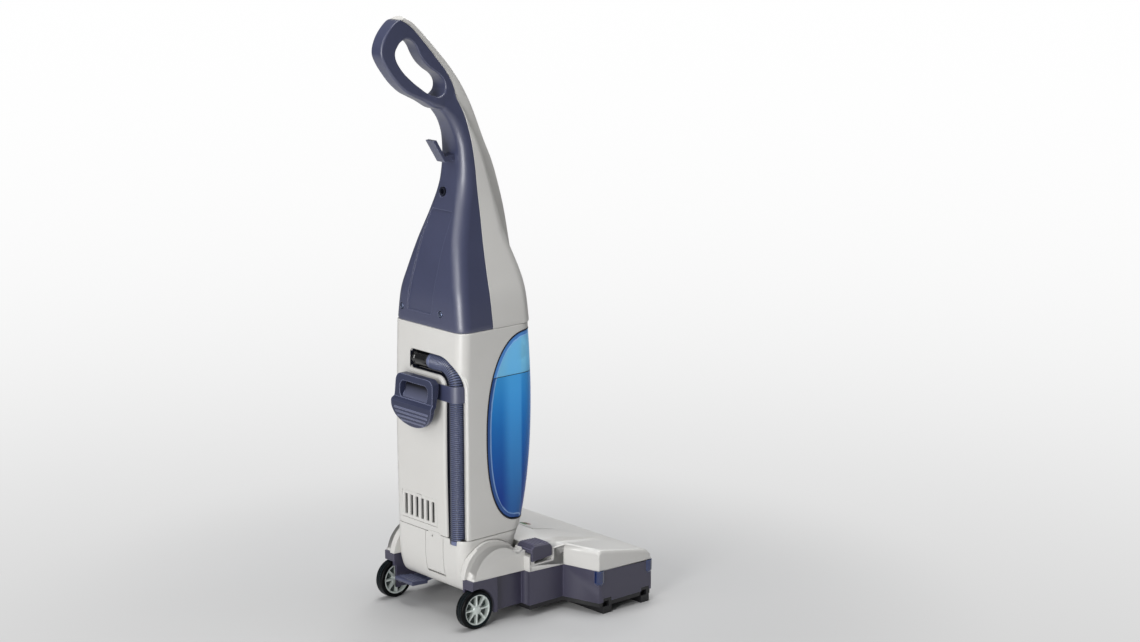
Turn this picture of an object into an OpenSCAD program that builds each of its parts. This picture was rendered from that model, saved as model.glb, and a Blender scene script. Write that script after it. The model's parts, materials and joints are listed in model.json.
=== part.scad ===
// Commercial upright vacuum cleaner: a wide floor head on two wheels, a housing that tips back on it
// with a see-through dust bin in front and a hose behind, and a curved handle with a hand loop.
// Lengths are millimetres. The machine faces -Y, the floor is z = 0 and x = 0 is the housing's middle;
// every node is then moved so that the origin is at the bottom centre of the whole machine.

/* [Housing] */
// Width of the housing
housing_w = 215; // [205:1:230]
// Rear face of the housing at its shoulder, behind the middle plane
housing_back = 73; // [70:1:80]
// Front face of the housing at the fullest part of the bin
housing_front = 120; // [114:1:130]
// Front face of the housing at its foot
foot_front = 84; // [78:1:88]
// Height of the seam between the lower and the main housing
seam_z = 169; // [165:1:176]
// Height of the shoulder, where the handle starts
shoulder_z = 582.5; // [575:0.5:620]
// Radius of the rear corners
rear_round = 24; // [18:1:28]
// Radius of the front corners
front_round = 38; // [30:1:44]
// Wall of the moulded shells
wall = 3; // [2.4:0.1:3.6]

/* [Dust bin] */
// Depth of the bin's rear edge behind the middle plane
bin_back = 14; // [6:1:18]
// Height of the bin's foot
bin_foot = 191; // [189:1:200]
// Solid band of housing above the bin
bin_band = 11.5; // [9:0.5:20]
// Height of the bin's lid
lid_h = 87; // [84:1:95]
// Wall of the clear bin
bin_wall = 2.5; // [2:0.1:3]
// Thickness of the black seal round the bin
seal_t = 2.5; // [2:0.1:4]
// Gap between the bin and what it slides into
bin_gap = 0.4; // [0.3:0.1:1]
// Width of the latch block on the bin
latch_w = 61; // [50:1:68]
// Diameter of the knurled filter knob
knob_d = 38; // [30:1:42]

/* [Handle] */
// Width of the hand loop
grip_w = 33; // [28:1:38]
// Height of the neck between the shoulder and the hand loop
neck_h = 400; // [380:5:440]
// Height of the raised middle ridge above the shoulder line, at its foot
ridge_rise = 15; // [10:1:18]
// Width of the ridge at its foot
ridge_w = 60; // [54:1:66]
// Diameter of the mains cord outlet
cord_hole_d = 11; // [8:0.5:12]

/* [Hose] */
// Outer diameter of the ribbed hose
hose_d = 33; // [30:1:34]
// Bore of the hose
hose_bore = 26; // [20:1:27]
// Distance between two ribs
rib_pitch = 4; // [4:0.5:8]
// Distance of the hose from the middle plane
hose_x = 78; // [76:1:80]
// Height of the hose's top run
hose_top = 510.5; // [500:0.5:520]

/* [Floor head] */
// Half width of the head behind the nozzle
head_half = 154; // [150:1:165]
// Reach of the wing beyond the head's left flank
wing_w = 82.5; // [70:0.5:95]
// Front face of the head, before the middle plane
head_front = 305; // [295:1:320]
// Height of the lower edge of the chassis
chassis_z = 24.5; // [22:0.5:27]
// Height of the seam between chassis and cover at the front
head_seam = 87; // [84:1:90]
// Height of the cover's flat top
cover_top = 141; // [136:1:146]
// Outer face of the two arms
arm_out = 138.7; // [136:0.1:142]
// Height of the recline pivot
pivot_z = 90; // [88:1:93]
// Recline pivot behind the middle plane
pivot_y = 10; // [6:1:12]
// Radius of the arm's round ear
ear_r = 72; // [66:1:74]
// Radius of the corner bumpers
bumper_r = 10; // [8:0.5:12]

/* [Wheels and brush] */
// Diameter of the rear wheels
wheel_d = 78; // [74:1:82]
// Width of a rear wheel
wheel_w = 22; // [18:0.5:24]
// Wheel axle behind the middle plane
axle_y = 64.8; // [62:0.1:68]
// Diameter of the stub axles
axle_d = 10; // [8:1:12]
// Spokes in a wheel
spokes = 8; // [6:1:10]
// Diameter over the bristles of the brush roller
brush_d = 58; // [54:1:60]
// Diameter of the brush roller's core
brush_core_d = 40; // [34:1:44]

/* [Hidden] */
$fn = 40;

shell_grey = "#C9C8C5";
slate = "#454A63";
plum = "#4A4858";
black = "#1B1B1D";
silver = "#C4C8C8";
clear_blue = [0.25, 0.6, 0.85, 0.55];

fit = 0.05;              // radial clearance of a running fit
air = 0.4;               // gap between neighbouring pieces that move
wing_x = head_half + wing_w;
bumper_out = 4;
handle_reach = 184;      // rearmost point of the hand loop
shift = [(wing_x - head_half) / 2, (head_front + bumper_out - handle_reach) / 2, 0];

// ---------- general forms ----------
function spline(p, t) = let (n = len(p) - 1, i = min(floor(t), n - 1), f = t - i,
    a = p[max(i - 1, 0)], b = p[i], c = p[i + 1], d = p[min(i + 2, n)])
    b + 0.5 * f * ((c - a) + f * ((2 * a - 5 * b + 4 * c - d) + f * (3 * (b - c) + d - a)));
function sampled(p, steps) = [for (i = [0:steps]) spline(p, i * (len(p) - 1) / steps)];
function arc(c, r, a0, a1, n) = [for (i = [0:n]) c + r * [cos(a0 + (a1 - a0) * i / n), sin(a0 + (a1 - a0) * i / n)]];
function at_z(ring, z) = [for (p = ring) [p.x, p.y, z]];
function mirrored_half(half) = concat(half, [for (i = [len(half) - 2:-1:0]) [-half[i].x, half[i].y]]);

module placed() { translate(shift) children(); }
// A side profile, given as [y, z] points, drawn out across x.
module across(x0, x1) {
    translate([x0, 0, 0]) rotate([90, 0, 90]) linear_extrude(x1 - x0) children();
}
module tube(r_out, r_in, h) {
    difference() {
        cylinder(r = r_out, h = h);
        translate([0, 0, -1]) cylinder(r = r_in, h = h + 2);
    }
}
module along_x() { rotate([0, 90, 0]) children(); }
// Boxes by their two corners.
module block(a, b) { translate(a) cube(b - a); }

// Closed skin over equal rings, with a flat cap at each end.
module skin(rings) {
    n = len(rings[0]);
    m = len(rings);
    sides = [for (j = [0:m - 2]) for (i = [0:n - 1]) let (k = (i + 1) % n)
        each [[j * n + i, (j + 1) * n + i, (j + 1) * n + k], [j * n + i, (j + 1) * n + k, j * n + k]]];
    caps = [[for (i = [0:n - 1]) i], [for (i = [n - 1:-1:0]) (m - 1) * n + i]];
    polyhedron(points = [for (r = rings) each r], faces = concat(sides, caps));
}
// Moulded wall between an outer and an inner sheet of points, closed along its four edges.
module moulding(outer, inner) {
    n = len(outer[0]);
    m = len(outer);
    s = n * m;
    function quad(a, b, c, d) = [[a, b, c], [a, c, d]];
    sheet = [for (j = [0:m - 2]) for (i = [0:n - 2]) let (a = j * n + i, b = a + n)
        each concat(quad(a, b, b + 1, a + 1), quad(s + a, s + a + 1, s + b + 1, s + b))];
    ends = [for (i = [0:n - 2]) let (t = (m - 1) * n + i)
        each concat(quad(i, i + 1, s + i + 1, s + i), quad(t + 1, t, s + t, s + t + 1))];
    rims = [for (j = [0:m - 2]) let (a = j * n, b = a + n - 1)
        each concat(quad(a + n, a, s + a, s + a + n), quad(b, b + n, s + b + n, s + b))];
    polyhedron(points = concat([for (r = outer) each r], [for (r = inner) each r]),
        faces = concat(sheet, ends, rims));
}

// ---------- housing ----------
back_swell = 4;          // rear face swells by this at half height
foot_back = 3;           // and stands this much further back at the foot
shoulder_front = 112;
swell_peak = 0.62;
front_crown = 6;
function rise_share(z) = (z - seam_z) / (shoulder_z - seam_z);
function back_y(z) = let (t = rise_share(z)) housing_back + foot_back * (1 - t) + back_swell * sin(180 * t);
function front_y(z) = let (t = max(rise_share(z), 0)) t < swell_peak
    ? -foot_front - (housing_front - foot_front) * sin(90 * pow(t / swell_peak, 0.75))
    : -housing_front + (housing_front - shoulder_front) * pow((t - swell_peak) / (1 - swell_peak), 2);
function front_arc(z, in) = let (h = housing_w / 2 - in, y = front_y(z) + in, r = front_round - in, f = h - r)
    concat(arc([-f, y + r], r, 180, 270, 5),
        [for (x = [-f / 2, 0, f / 2]) [x, y - front_crown * (1 - pow(x / f, 2))]],
        arc([f, y + r], r, 270, 360, 5));
function housing_ring(z, in) = let (h = housing_w / 2 - in, y = back_y(z) - in, r = rear_round - in)
    concat(arc([h - r, y - r], r, 0, 90, 4), arc([r - h, y - r], r, 90, 180, 4), front_arc(z, in));
module housing_form(z0, z1, in = 0) {
    steps = 9;
    skin([for (i = [0:steps]) let (z = z0 + (z1 - z0) * i / steps) at_z(housing_ring(z, in), z)]);
}

// Side outline of the bin's bed: two quarter curves meet at the bin's deepest point.
bin_top = shoulder_z - bin_band;
bin_split = bin_top - lid_h;        // height of the split between the bin and its lid
bin_mid = bin_foot + 176;
upper_lip = -93;
lower_lip = -65;
function bed_edge(z, in) = z > bin_mid
    ? upper_lip + (bin_back - in - upper_lip) * pow(max(1 - pow((z - bin_mid) / (bin_top - in - bin_mid), 2.25), 0), 0.444)
    : lower_lip + (bin_back - in - lower_lip) * pow(max(1 - pow((bin_mid - z) / (bin_mid - bin_foot - in), 2.4), 0), 0.417);
function bed_curve(in) = concat(
    [for (i = [0:8]) let (z = bin_top - in - (bin_top - in - bin_mid) * (1 - cos(i * 11.25))) [bed_edge(z, in), z]],
    [for (i = [7:-1:0]) let (z = bin_foot + in + (bin_mid - bin_foot - in) * (1 - cos(i * 11.25))) [bed_edge(z, in), z]]);
function bed(in) = concat([[-200, bin_foot + in], [-200, bin_top - in]], bed_curve(in));

// Hose recess: a round-bottomed channel up the rear corner, an elbow and a run to the port.
channel_r = hose_d / 2 + 2.5;
hose_y = housing_back - 16;
bend_r = 42;
port_x = 50;
cuff_l = 46;
bend_x = -hose_x + bend_r;
bend_z = hose_top - bend_r;
module channel(r, open_to, z0) {
    module slot() { circle(r = r); translate([-r, 0]) square([2 * r, open_to]); }
    translate([-hose_x, hose_y, z0]) linear_extrude(bend_z - z0) slot();
    translate([bend_x, hose_y, hose_top]) rotate([90, 0, 90]) linear_extrude(port_x - bend_x)
        rotate(-90) slot_turned(r, open_to);
    translate([bend_x, hose_y, bend_z]) rotate([-90, 0, 0]) rotate([0, 0, 180]) rotate_extrude(angle = 90)
        translate([bend_r, 0]) slot();
}
module slot_turned(r, open_to) { circle(r = r); translate([-r, 0]) square([2 * r, open_to]); }

grille = [25, 211.5, 110, 57];     // x centre, z centre, width, height of the exhaust grille
grille_foot = grille.y - grille[3] / 2;
peg_r = 1.5;
door = [-19, 86, 56];              // x centre, foot and width of the access door
door_tab = [36, 4];
door_pin_r = 1.5;
module main_housing() {
    color(shell_grey) placed() difference() {
        housing_form(seam_z + 0.3, shoulder_z - 0.3);
        across(-150, 150) polygon(bed(0));
        housing_hollow();
        channel(channel_r, 60, seam_z - 1);
        strap_form(0.4);
        block([grille.x - grille[2] / 2, back_y(grille.y) - 12, grille_foot],
            [grille.x + grille[2] / 2, 120, grille_foot + grille[3]]);
        translate([port_x - 1, hose_y, hose_top]) along_x() cylinder(r = port_r, h = 14);
        translate([hook_x, 0, hook_z]) rotate([-90, 0, 0]) cylinder(r = stud_r, h = 200);
        translate([grille.x, back_y(grille.y) - 2, grille_foot + air + 2]) along_x()
            cylinder(r = peg_r + fit, h = grille[2] + 8, center = true);
        block([door.x - door_tab.x / 2 - air, 0, 0], [door.x + door_tab.x / 2 + air, 200, seam_z + door_tab.y]);
    }
}
module housing_hollow() {
    bulk = 2 * wall;
    intersection() {
        housing_form(seam_z - 1, shoulder_z - wall, wall);
        difference() {
            union() {
                across(-hose_x + channel_r + wall, 150) difference() {
                    translate([-70, 0]) square([200, shoulder_z - wall]);
                    polygon(bed(-bulk));
                    translate([-300, bin_foot - wall]) square([240, 600]);
                }
                block([-150, -150, 0], [150, hose_y - channel_r - wall, bin_foot - wall]);
            }
            channel(channel_r + wall, 60, seam_z - 1);
            translate([port_x - 1, hose_y, hose_top]) along_x() cylinder(r = port_r + wall, h = 12);
            block([port_x - 1, hose_y - channel_r - wall, hose_top - channel_r - wall],
                [port_x + wall, 120, hose_top + channel_r + wall]);
            block([grille.x - grille[2] / 2 - 5, back_y(grille.y) - 9, grille.y - grille[3] / 2 - 5],
                [grille.x + grille[2] / 2 + 5, 120, grille.y + grille[3] / 2 + 5]);
        }
    }
}

// Lower housing: the rear and front lines tuck in below, and the corners stay round down to the foot.
foot_z = 57;
low_top = seam_z + 5;
function low_back(in) = let (r = back_y(seam_z) - in)
    [[foot_z + in, r - 36], [67 + in * 0.7, r - 15], [88, r - 5], [124, r], [low_top, r]];
function low_front(in) = let (f = -foot_front + in)
    [[foot_z + in, f + 54 - in], [foot_z + 7 + in, f + 36], [100, f + 22], [141, f + 12], [seam_z, f], [low_top, f]];
function low_side(in) = concat([for (i = [5:-1:0]) let (p = low_front(in)[i]) [p.y, p.x]], [for (p = low_back(in)) [p.y, p.x]]);
function low_ring(z, in) = let (h = housing_w / 2 - in, yb = lookup(z, low_back(in)), yf = lookup(z, low_front(in)),
    r = rear_round - in, q = front_round - in, f = h - q, c = front_crown * min(max((z - 148) / (seam_z - 148), 0), 1))
    concat(arc([h - r, yb - r], r, 0, 90, 4), arc([r - h, yb - r], r, 90, 180, 4), arc([-f, yf + q], q, 180, 270, 5),
        [for (x = [-f / 2, 0, f / 2]) [x, yf - c * (1 - pow(x / f, 2))]], arc([f, yf + q], q, 270, 360, 5));
module low_form(in) {
    top = seam_z - 0.3 + (in > 0 ? 2 : 0);
    skin([for (z = [foot_z + in, 64 + in * 0.8, 67 + in * 0.7, 77 + in * 0.3, 88, 100, 124, 141, 155, top])
        at_z(low_ring(z, in), z)]);
}
ear_in = 104.4;                     // inner face of the arms
cheek_x = ear_in - 0.8;             // outer face of the housing between the arms
trunnion_r = 20;
bush_r = 24;
bush_l = 9.5;
door_pin_at = [0, back_y(seam_z) - 5 + (door.y + 7.1 - 88) / 7.2 - 6.5, door.y + 7.1];
module each_side() { for (s = [0, 1]) mirror([s, 0, 0]) children(); }
module lower_housing() {
    color(shell_grey) placed() {
        difference() {
            union() {
                difference() {
                    low_form(0);
                    low_form(wall);
                }
                each_side() {
                    translate([cheek_x - bush_l, pivot_y, pivot_z]) along_x() cylinder(r = bush_r + 4, h = bush_l);
                    intersection() {
                        low_form(0);
                        translate([cheek_x - wall, pivot_y, pivot_z]) along_x() cylinder(r = ear_r + 5, h = 9);
                    }
                }
                for (x = [-1, 1]) door_lug(x);
                for (x = [pedal_x0 + 1, pedal_x1 - 6]) block([x, pedal_pin_at.y - 6, pedal_pin_at.z - 4], [x + 5, pedal_pin_at.y + 6, foot_z + 1]);
            }
            each_side() translate([cheek_x, pivot_y, pivot_z]) along_x() cylinder(r = ear_r + 1.2, h = 20);
            each_side() translate([cheek_x - bush_l - 5, pivot_y, pivot_z]) along_x() cylinder(r = bush_r, h = 30);
            translate([0, pedal_pin_at.y, pedal_pin_at.z]) along_x() cylinder(r = pedal_pin_r, h = 150);
            block([door.x - door[2] / 2 - air, 40, door.y], [door.x + door[2] / 2 + air, 120, 200]);
            translate([-hose_x, hose_y, seam_z - 22.2]) cylinder(r = socket_r + 0.2, h = 30);
        }
        intersection() {
            difference() {
                translate([-hose_x, hose_y, seam_z - 9]) cylinder(r = 30, h = 8);
                translate([-hose_x, hose_y, seam_z - 12]) cylinder(r = socket_r + 0.2, h = 20);
            }
            low_form(wall - 0.5);
        }
    }
}
module door_lug(side) {
    x = door.x + side * (door[2] / 2 - 6) - 3;
    translate([x, door_pin_at.y, door_pin_at.z]) difference() {
        union() {
            along_x() cylinder(r = 3.2, h = 6);
            block([0, -14, -3], [6, 0, 3]);
            block([0, -14, -28], [6, -9, 3]);
        }
        translate([-1, 0, 0]) along_x() cylinder(r = door_pin_r, h = 8);
    }
}
module access_door() {
    w = door[2];
    color(shell_grey) placed() {
        difference() {
            intersection() {
                difference() {
                    across(door.x - w / 2, door.x + w / 2) polygon(low_side(0));
                    across(door.x - w, door.x + w) polygon(low_side(wall - 0.4));
                }
                union() {
                    block([-100, 30, door_pin_at.z], [100, 100, seam_z - 0.4]);
                    translate([-100, door_pin_at.y, door_pin_at.z]) along_x() cylinder(r = 6.4, h = 200);
                }
            }
            translate([door.x - 20, 0, seam_z - 6]) rotate([-90, 0, 0]) cylinder(r = 2, h = 120);
        }
        block([door.x - door_tab.x / 2, back_y(seam_z) - wall, seam_z - 1],
            [door.x + door_tab.x / 2, back_y(seam_z), seam_z + door_tab.y - 0.4]);
        difference() {
            union() {
                translate([door.x - 15, door_pin_at.y, door_pin_at.z]) along_x() cylinder(r = 3.2, h = 30);
                block([door.x - 15, door_pin_at.y, door_pin_at.z - 1], [door.x + 15, door_pin_at.y + 5, door_pin_at.z + 2.6]);
            }
            translate([door.x - 20, door_pin_at.y, door_pin_at.z]) along_x() cylinder(r = door_pin_r + fit, h = 40);
        }
    }
}
// Steel pins of the access door and the release pedal.
module hinge_pins() {
    color(silver) placed() {
        translate([door.x - door[2] / 2 + 1, door_pin_at.y, door_pin_at.z]) along_x() cylinder(r = door_pin_r, h = door[2] - 2);
        translate([pedal_x0 + 1, pedal_pin_at.y, pedal_pin_at.z]) along_x() cylinder(r = pedal_pin_r, h = pedal_x1 - pedal_x0 - 2);
    }
}

// Exhaust grille with six slots, hooked in at its foot.
module exhaust_grille() {
    w = grille[2] - 2 * air;
    h = grille[3] - 2 * air;
    y = back_y(grille.y);
    pitch = 17;
    color(shell_grey) placed() translate([grille.x, y, grille.y]) {
        difference() {
            union() {
                block([-w / 2, -4, 2 - h / 2], [w / 2, 0, h / 2]);
                translate([-w / 2, -2, 2 - h / 2]) along_x() cylinder(r = 2, h = w);
                translate([-w / 2 - 3, -2, 2 - h / 2]) along_x() cylinder(r = peg_r, h = w + 6);
            }
            for (i = [0:5]) block([(i - 2.5) * pitch - 4.5, -6, -21], [(i - 2.5) * pitch + 4.5, 4, 21]);
        }
        block([-8, 0, h / 2 - 3], [8, 1.6, h / 2]);
    }
}
module exhaust_filter() {
    y = back_y(grille.y) - 5.4;
    w = grille[2] / 2 - 0.3;
    h = grille[3] / 2 - 0.3;
    color(black) placed() difference() {
        block([grille.x - w, y - 15, grille.y - h], [grille.x + w, y, grille.y + h]);
        for (i = [-6:6]) block([grille.x + i * 7.6 - 1, y - 12, grille.y - 24], [grille.x + i * 7.6 + 1, y + 5, grille.y + 24]);
    }
}

// Suction motor with its fan, across the lower housing.
motor_at = [0, -5, 116];
motor_r = 42;
fan_r = 46;
shaft_r = 4;
module suction_motor() {
    color(silver) placed() translate(motor_at) difference() {
        union() {
            translate([-22, 0, 0]) along_x() cylinder(r = motor_r, h = 60);
            translate([-34, 0, 0]) along_x() cylinder(r = 22, h = 12);
        }
        translate([-40, 0, 0]) along_x() cylinder(r = shaft_r + fit, h = 90);
        for (a = [0:45:315]) rotate([a, 0, 0]) translate([-23, 0, 30]) along_x() cylinder(r = 4, h = 18);
    }
}
module fan_housing() {
    color(silver) placed() translate(motor_at + [38, 0, 0]) difference() {
        along_x() cylinder(r = fan_r, h = 34);
        translate([wall, 0, 0]) along_x() cylinder(r = fan_r - 2, h = 34 - 2 * wall);
        translate([-1, 0, 0]) along_x() cylinder(r = shaft_r + 2, h = 10);
        translate([20, 0, 0]) along_x() cylinder(r = 18, h = 20);
    }
}
module motor_cradle() {
    color(black) placed() translate(motor_at) for (x = [-20, 24]) difference() {
        block([x, -24, foot_z + wall - motor_at.z], [x + 10, 30, 0]);
        translate([x - 1, 0, 0]) along_x() cylinder(r = motor_r, h = 12);
    }
}
module motor_shaft() {
    color(silver) placed() translate(motor_at + [-36, 0, 0]) along_x() cylinder(r = shaft_r, h = 98);
}
module impeller() {
    color("#8C9092") placed() translate(motor_at + [38 + wall + 1, 0, 0]) difference() {
        union() {
            along_x() cylinder(r = fan_r - 6, h = 2);
            along_x() cylinder(r = 9, h = 20);
            for (a = [0:45:315]) rotate([a, 0, 0]) block([0, -1, 7], [20, 1, fan_r - 7]);
        }
        translate([-1, 0, 0]) along_x() cylinder(r = shaft_r, h = 30);
    }
}
// Duct from the trunnion up to the hose socket.
duct_r = 13.5;
module lower_duct() {
    x = -hose_x;
    top = seam_z - 22;
    color(black) placed() difference() {
        union() {
            translate([x, hose_y, pivot_z + 32]) cylinder(r = duct_r, h = top - pivot_z - 32);
            translate([x, pivot_y, pivot_z]) rotate([-90, 0, 0]) cylinder(r = duct_r, h = 24);
            translate([x, pivot_y + 24, pivot_z]) sphere(r = duct_r);
            duct_slope(duct_r);
            translate([-ear_in + 9, pivot_y, pivot_z]) rotate([0, 90, 0]) cylinder(r = duct_r, h = 18);
        }
        translate([x, hose_y, pivot_z + 30]) cylinder(r = duct_r - 2, h = 100);
        translate([-ear_in, pivot_y, pivot_z]) rotate([0, 90, 0]) cylinder(r = duct_r - 2, h = 27);
        duct_slope(duct_r - 2);
    }
}
module duct_slope(r) {
    hull() {
        translate([-hose_x, pivot_y + 20, pivot_z]) sphere(r = r, $fn = 16);
        translate([-hose_x, hose_y, pivot_z + 32]) sphere(r = r, $fn = 16);
    }
}

// ---------- hose ----------
socket_r = hose_d / 2 + 1.5;
port_r = 12;
hose_foot = seam_z - 10;
rib_sides = 8;
// Point and heading at distance s along the hose's middle line.
rise_l = bend_z - hose_foot;
bend_l = bend_r * PI / 2;
run_l = port_x - 1.5 - cuff_l - bend_x;
hose_l = rise_l + bend_l + run_l;
function hose_at(s) = s < rise_l ? [-hose_x, hose_foot + s, 90]
    : s < rise_l + bend_l ? let (a = 180 - (s - rise_l) / bend_r * 180 / PI)
        [bend_x + bend_r * cos(a), bend_z + bend_r * sin(a), a - 90]
    : [bend_x + s - rise_l - bend_l, hose_top, 0];
function hose_ring(s, r) = let (p = hose_at(s), n = [-sin(p[2]), cos(p[2])])
    [for (i = [0:rib_sides - 1]) let (a = (i + 0.5) * 360 / rib_sides)
        [p.x + n.x * r * sin(a), hose_y + r * cos(a), p.y + n.y * r * sin(a)]];
module hose() {
    plain = hose_d;                 // the ends run straight and smooth for one diameter
    ribs = floor((hose_l - 2 * plain) / rib_pitch);
    groove = 1.4;
    start = (hose_l - ribs * rib_pitch) / 2;
    outside = concat([hose_ring(0, hose_d / 2)],
        [for (i = [0:ribs]) each [hose_ring(start + i * rib_pitch - rib_pitch * 0.25, hose_d / 2),
            hose_ring(start + i * rib_pitch + rib_pitch * 0.25, hose_d / 2 - groove)]],
        [hose_ring(hose_l, hose_d / 2)]);
    inside = [for (i = [0:14]) let (s = i < 2 ? i * rise_l : i < 13 ? rise_l + (i - 2) * bend_l / 10 : hose_l)
        hose_ring(s, hose_bore / 2)];
    n = rib_sides;
    m = len(outside);
    k = len(inside);
    function band(a, b, flip) = [for (i = [0:n - 1]) let (j = (i + 1) % n)
        each (flip ? [[a + i, a + j, b + j], [a + i, b + j, b + i]] : [[a + i, b + j, a + j], [a + i, b + i, b + j]])];
    color(slate) placed() polyhedron(
        points = concat([for (r = outside) each r], [for (r = inside) each r]),
        faces = concat([for (j = [0:m - 2]) each band(j * n, (j + 1) * n, false)],
            [for (j = [0:k - 2]) each band((m + j) * n, (m + j + 1) * n, true)],
            band(m * n, 0, false), band((m - 1) * n, (m + k - 1) * n, false)));
}
module hose_cuff() {
    color(black) placed() translate([port_x - 1 - cuff_l, hose_y, hose_top]) along_x() difference() {
        union() {
            cylinder(r = hose_d / 2, h = cuff_l);
            translate([0, 0, cuff_l - 8]) cylinder(r = hose_d / 2 + 1, h = 8);
        }
        translate([0, 0, -1]) cylinder(r = port_r + fit, h = cuff_l + 2);
    }
}
module hose_port() {
    color(slate) placed() translate([port_x - 22, hose_y, hose_top]) along_x() tube(port_r, port_r - 2, 30);
}
module hose_socket() {
    color(black) placed() translate([-hose_x, hose_y, seam_z - 22]) difference() {
        union() {
            cylinder(r = socket_r, h = 22);
            translate([0, 0, 21.8]) cylinder(r = socket_r + 0.7, h = 2);
        }
        translate([0, 0, -1]) cylinder(r = hose_bore / 2, h = 30);
        translate([0, 0, 12]) cylinder(r = hose_d / 2 + 0.1, h = 30);
    }
}
// Strap that clips round the hose beside the cord hook.
strap_z = hose_top - 65.5;
strap_h = 40;
strap_t = 3.2;
module strap_form(grow) {
    r = hose_d / 2 + 0.3;
    translate([-hose_x, hose_y, strap_z - grow]) rotate([0, 0, 78]) rotate_extrude(angle = 112)
        translate([r - (grow > 0 ? 1 : 0), 0]) square([strap_t + grow + (grow > 0 ? 1 : 0), strap_h + 2 * grow]);
}
module hose_strap() {
    r = hose_d / 2 + 0.3;
    y = back_y(strap_z) + 0.1 - hose_y;
    color(slate) placed() translate([-hose_x, hose_y, strap_z]) linear_extrude(strap_h)
        polygon(concat(
            [for (i = [0:20]) let (a = 190 - 98 * i / 20) (r + strap_t) * [cos(a), sin(a)]],
            [[5, y + strap_t], [40, y + strap_t], [40, y], [8, y]],
            [for (i = [0:20]) let (a = 78 + 112 * i / 20) r * [cos(a), sin(a)]]
        ));
}

// ---------- cord hooks ----------
hook_x = 0;
hook_z = hose_top - 55.5;
hook_y = back_y(hook_z);
hook_plate = [132, 8];               // width of the half-round flap and thickness of the plates
stud_r = 9;
hook_out = 30;                       // outer face behind the housing
module cord_hook() {
    w = hook_plate.x;
    t = hook_plate.y;
    y1 = hook_y + hook_out;
    z0 = hook_z - 27;                // widest place of the flap
    top = [w / 2 - 4, w / 2 - 10, w / 2 - 22];
    color(slate) placed() difference() {
        union() {
            intersection() {
                translate([hook_x, y1 + 2, z0]) rotate([90, 0, 0]) linear_extrude(hook_out) difference() {
                    union() {
                        polygon([[-top.x, -1], [-top.y, 48], [-top[2], 61], [top[2], 61], [top.y, 48], [top.x, -1]]);
                        intersection() {
                            scale([1, 0.68]) circle(r = w / 2, $fn = 64);
                            translate([-w, -w]) square([2 * w, w + 0.5]);
                        }
                    }
                    polygon([[24 - w / 2, 14], [22 - w / 2, 38], [29 - w / 2, 45], [w / 2 - 29, 45], [w / 2 - 22, 38], [w / 2 - 24, 14]]);
                }
                across(hook_x - w, hook_x + w) translate([y1, z0]) polygon([[-9, 62], [-7, 34], [-1.5, 12], [0, 0], [-1, -26],
                    [-5, -46], [-13, -46], [-t - 1, -26], [-t, 0], [-t - 2, 12], [-t - 8.5, 34], [-t - 11, 62]]);
            }
            for (i = [0:3]) let (z = -8 - i * 8, x = w / 2 * sqrt(1 - pow(z / (0.68 * w / 2), 2)) - 9)
                translate([hook_x - x, y1 - 0.4 - (i > 2 ? 1 : 0), z0 + z]) along_x() cylinder(r = 1.7, h = 2 * x, $fn = 16);
            // neck to the stud
            block([hook_x - 30, hook_y + 1, z0 + 8], [hook_x + 30, y1 - t - 1, z0 + 14]);
            translate([hook_x, hook_y + 1, hook_z]) rotate([-90, 0, 0]) cylinder(r = stud_r + 7, h = 6.6);
            block([hook_x - 14, hook_y + 1, z0 + 12], [hook_x + 14, hook_y + 7.6, hook_z]);
        }
        translate([hook_x, 0, hook_z]) rotate([-90, 0, 0]) cylinder(r = stud_r - 3 + fit, h = 300);
    }
}
module hook_stud() {
    color(silver) placed() translate([hook_x, 0, hook_z]) rotate([-90, 0, 0]) {
        translate([0, 0, hook_y - wall - 5]) cylinder(r = stud_r, h = wall + 5.2);
        translate([0, 0, hook_y - 1]) cylinder(r = stud_r - 3, h = 9);
        translate([0, 0, hook_y + 7.8]) cylinder(r = stud_r, h = 2);
    }
}

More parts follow.
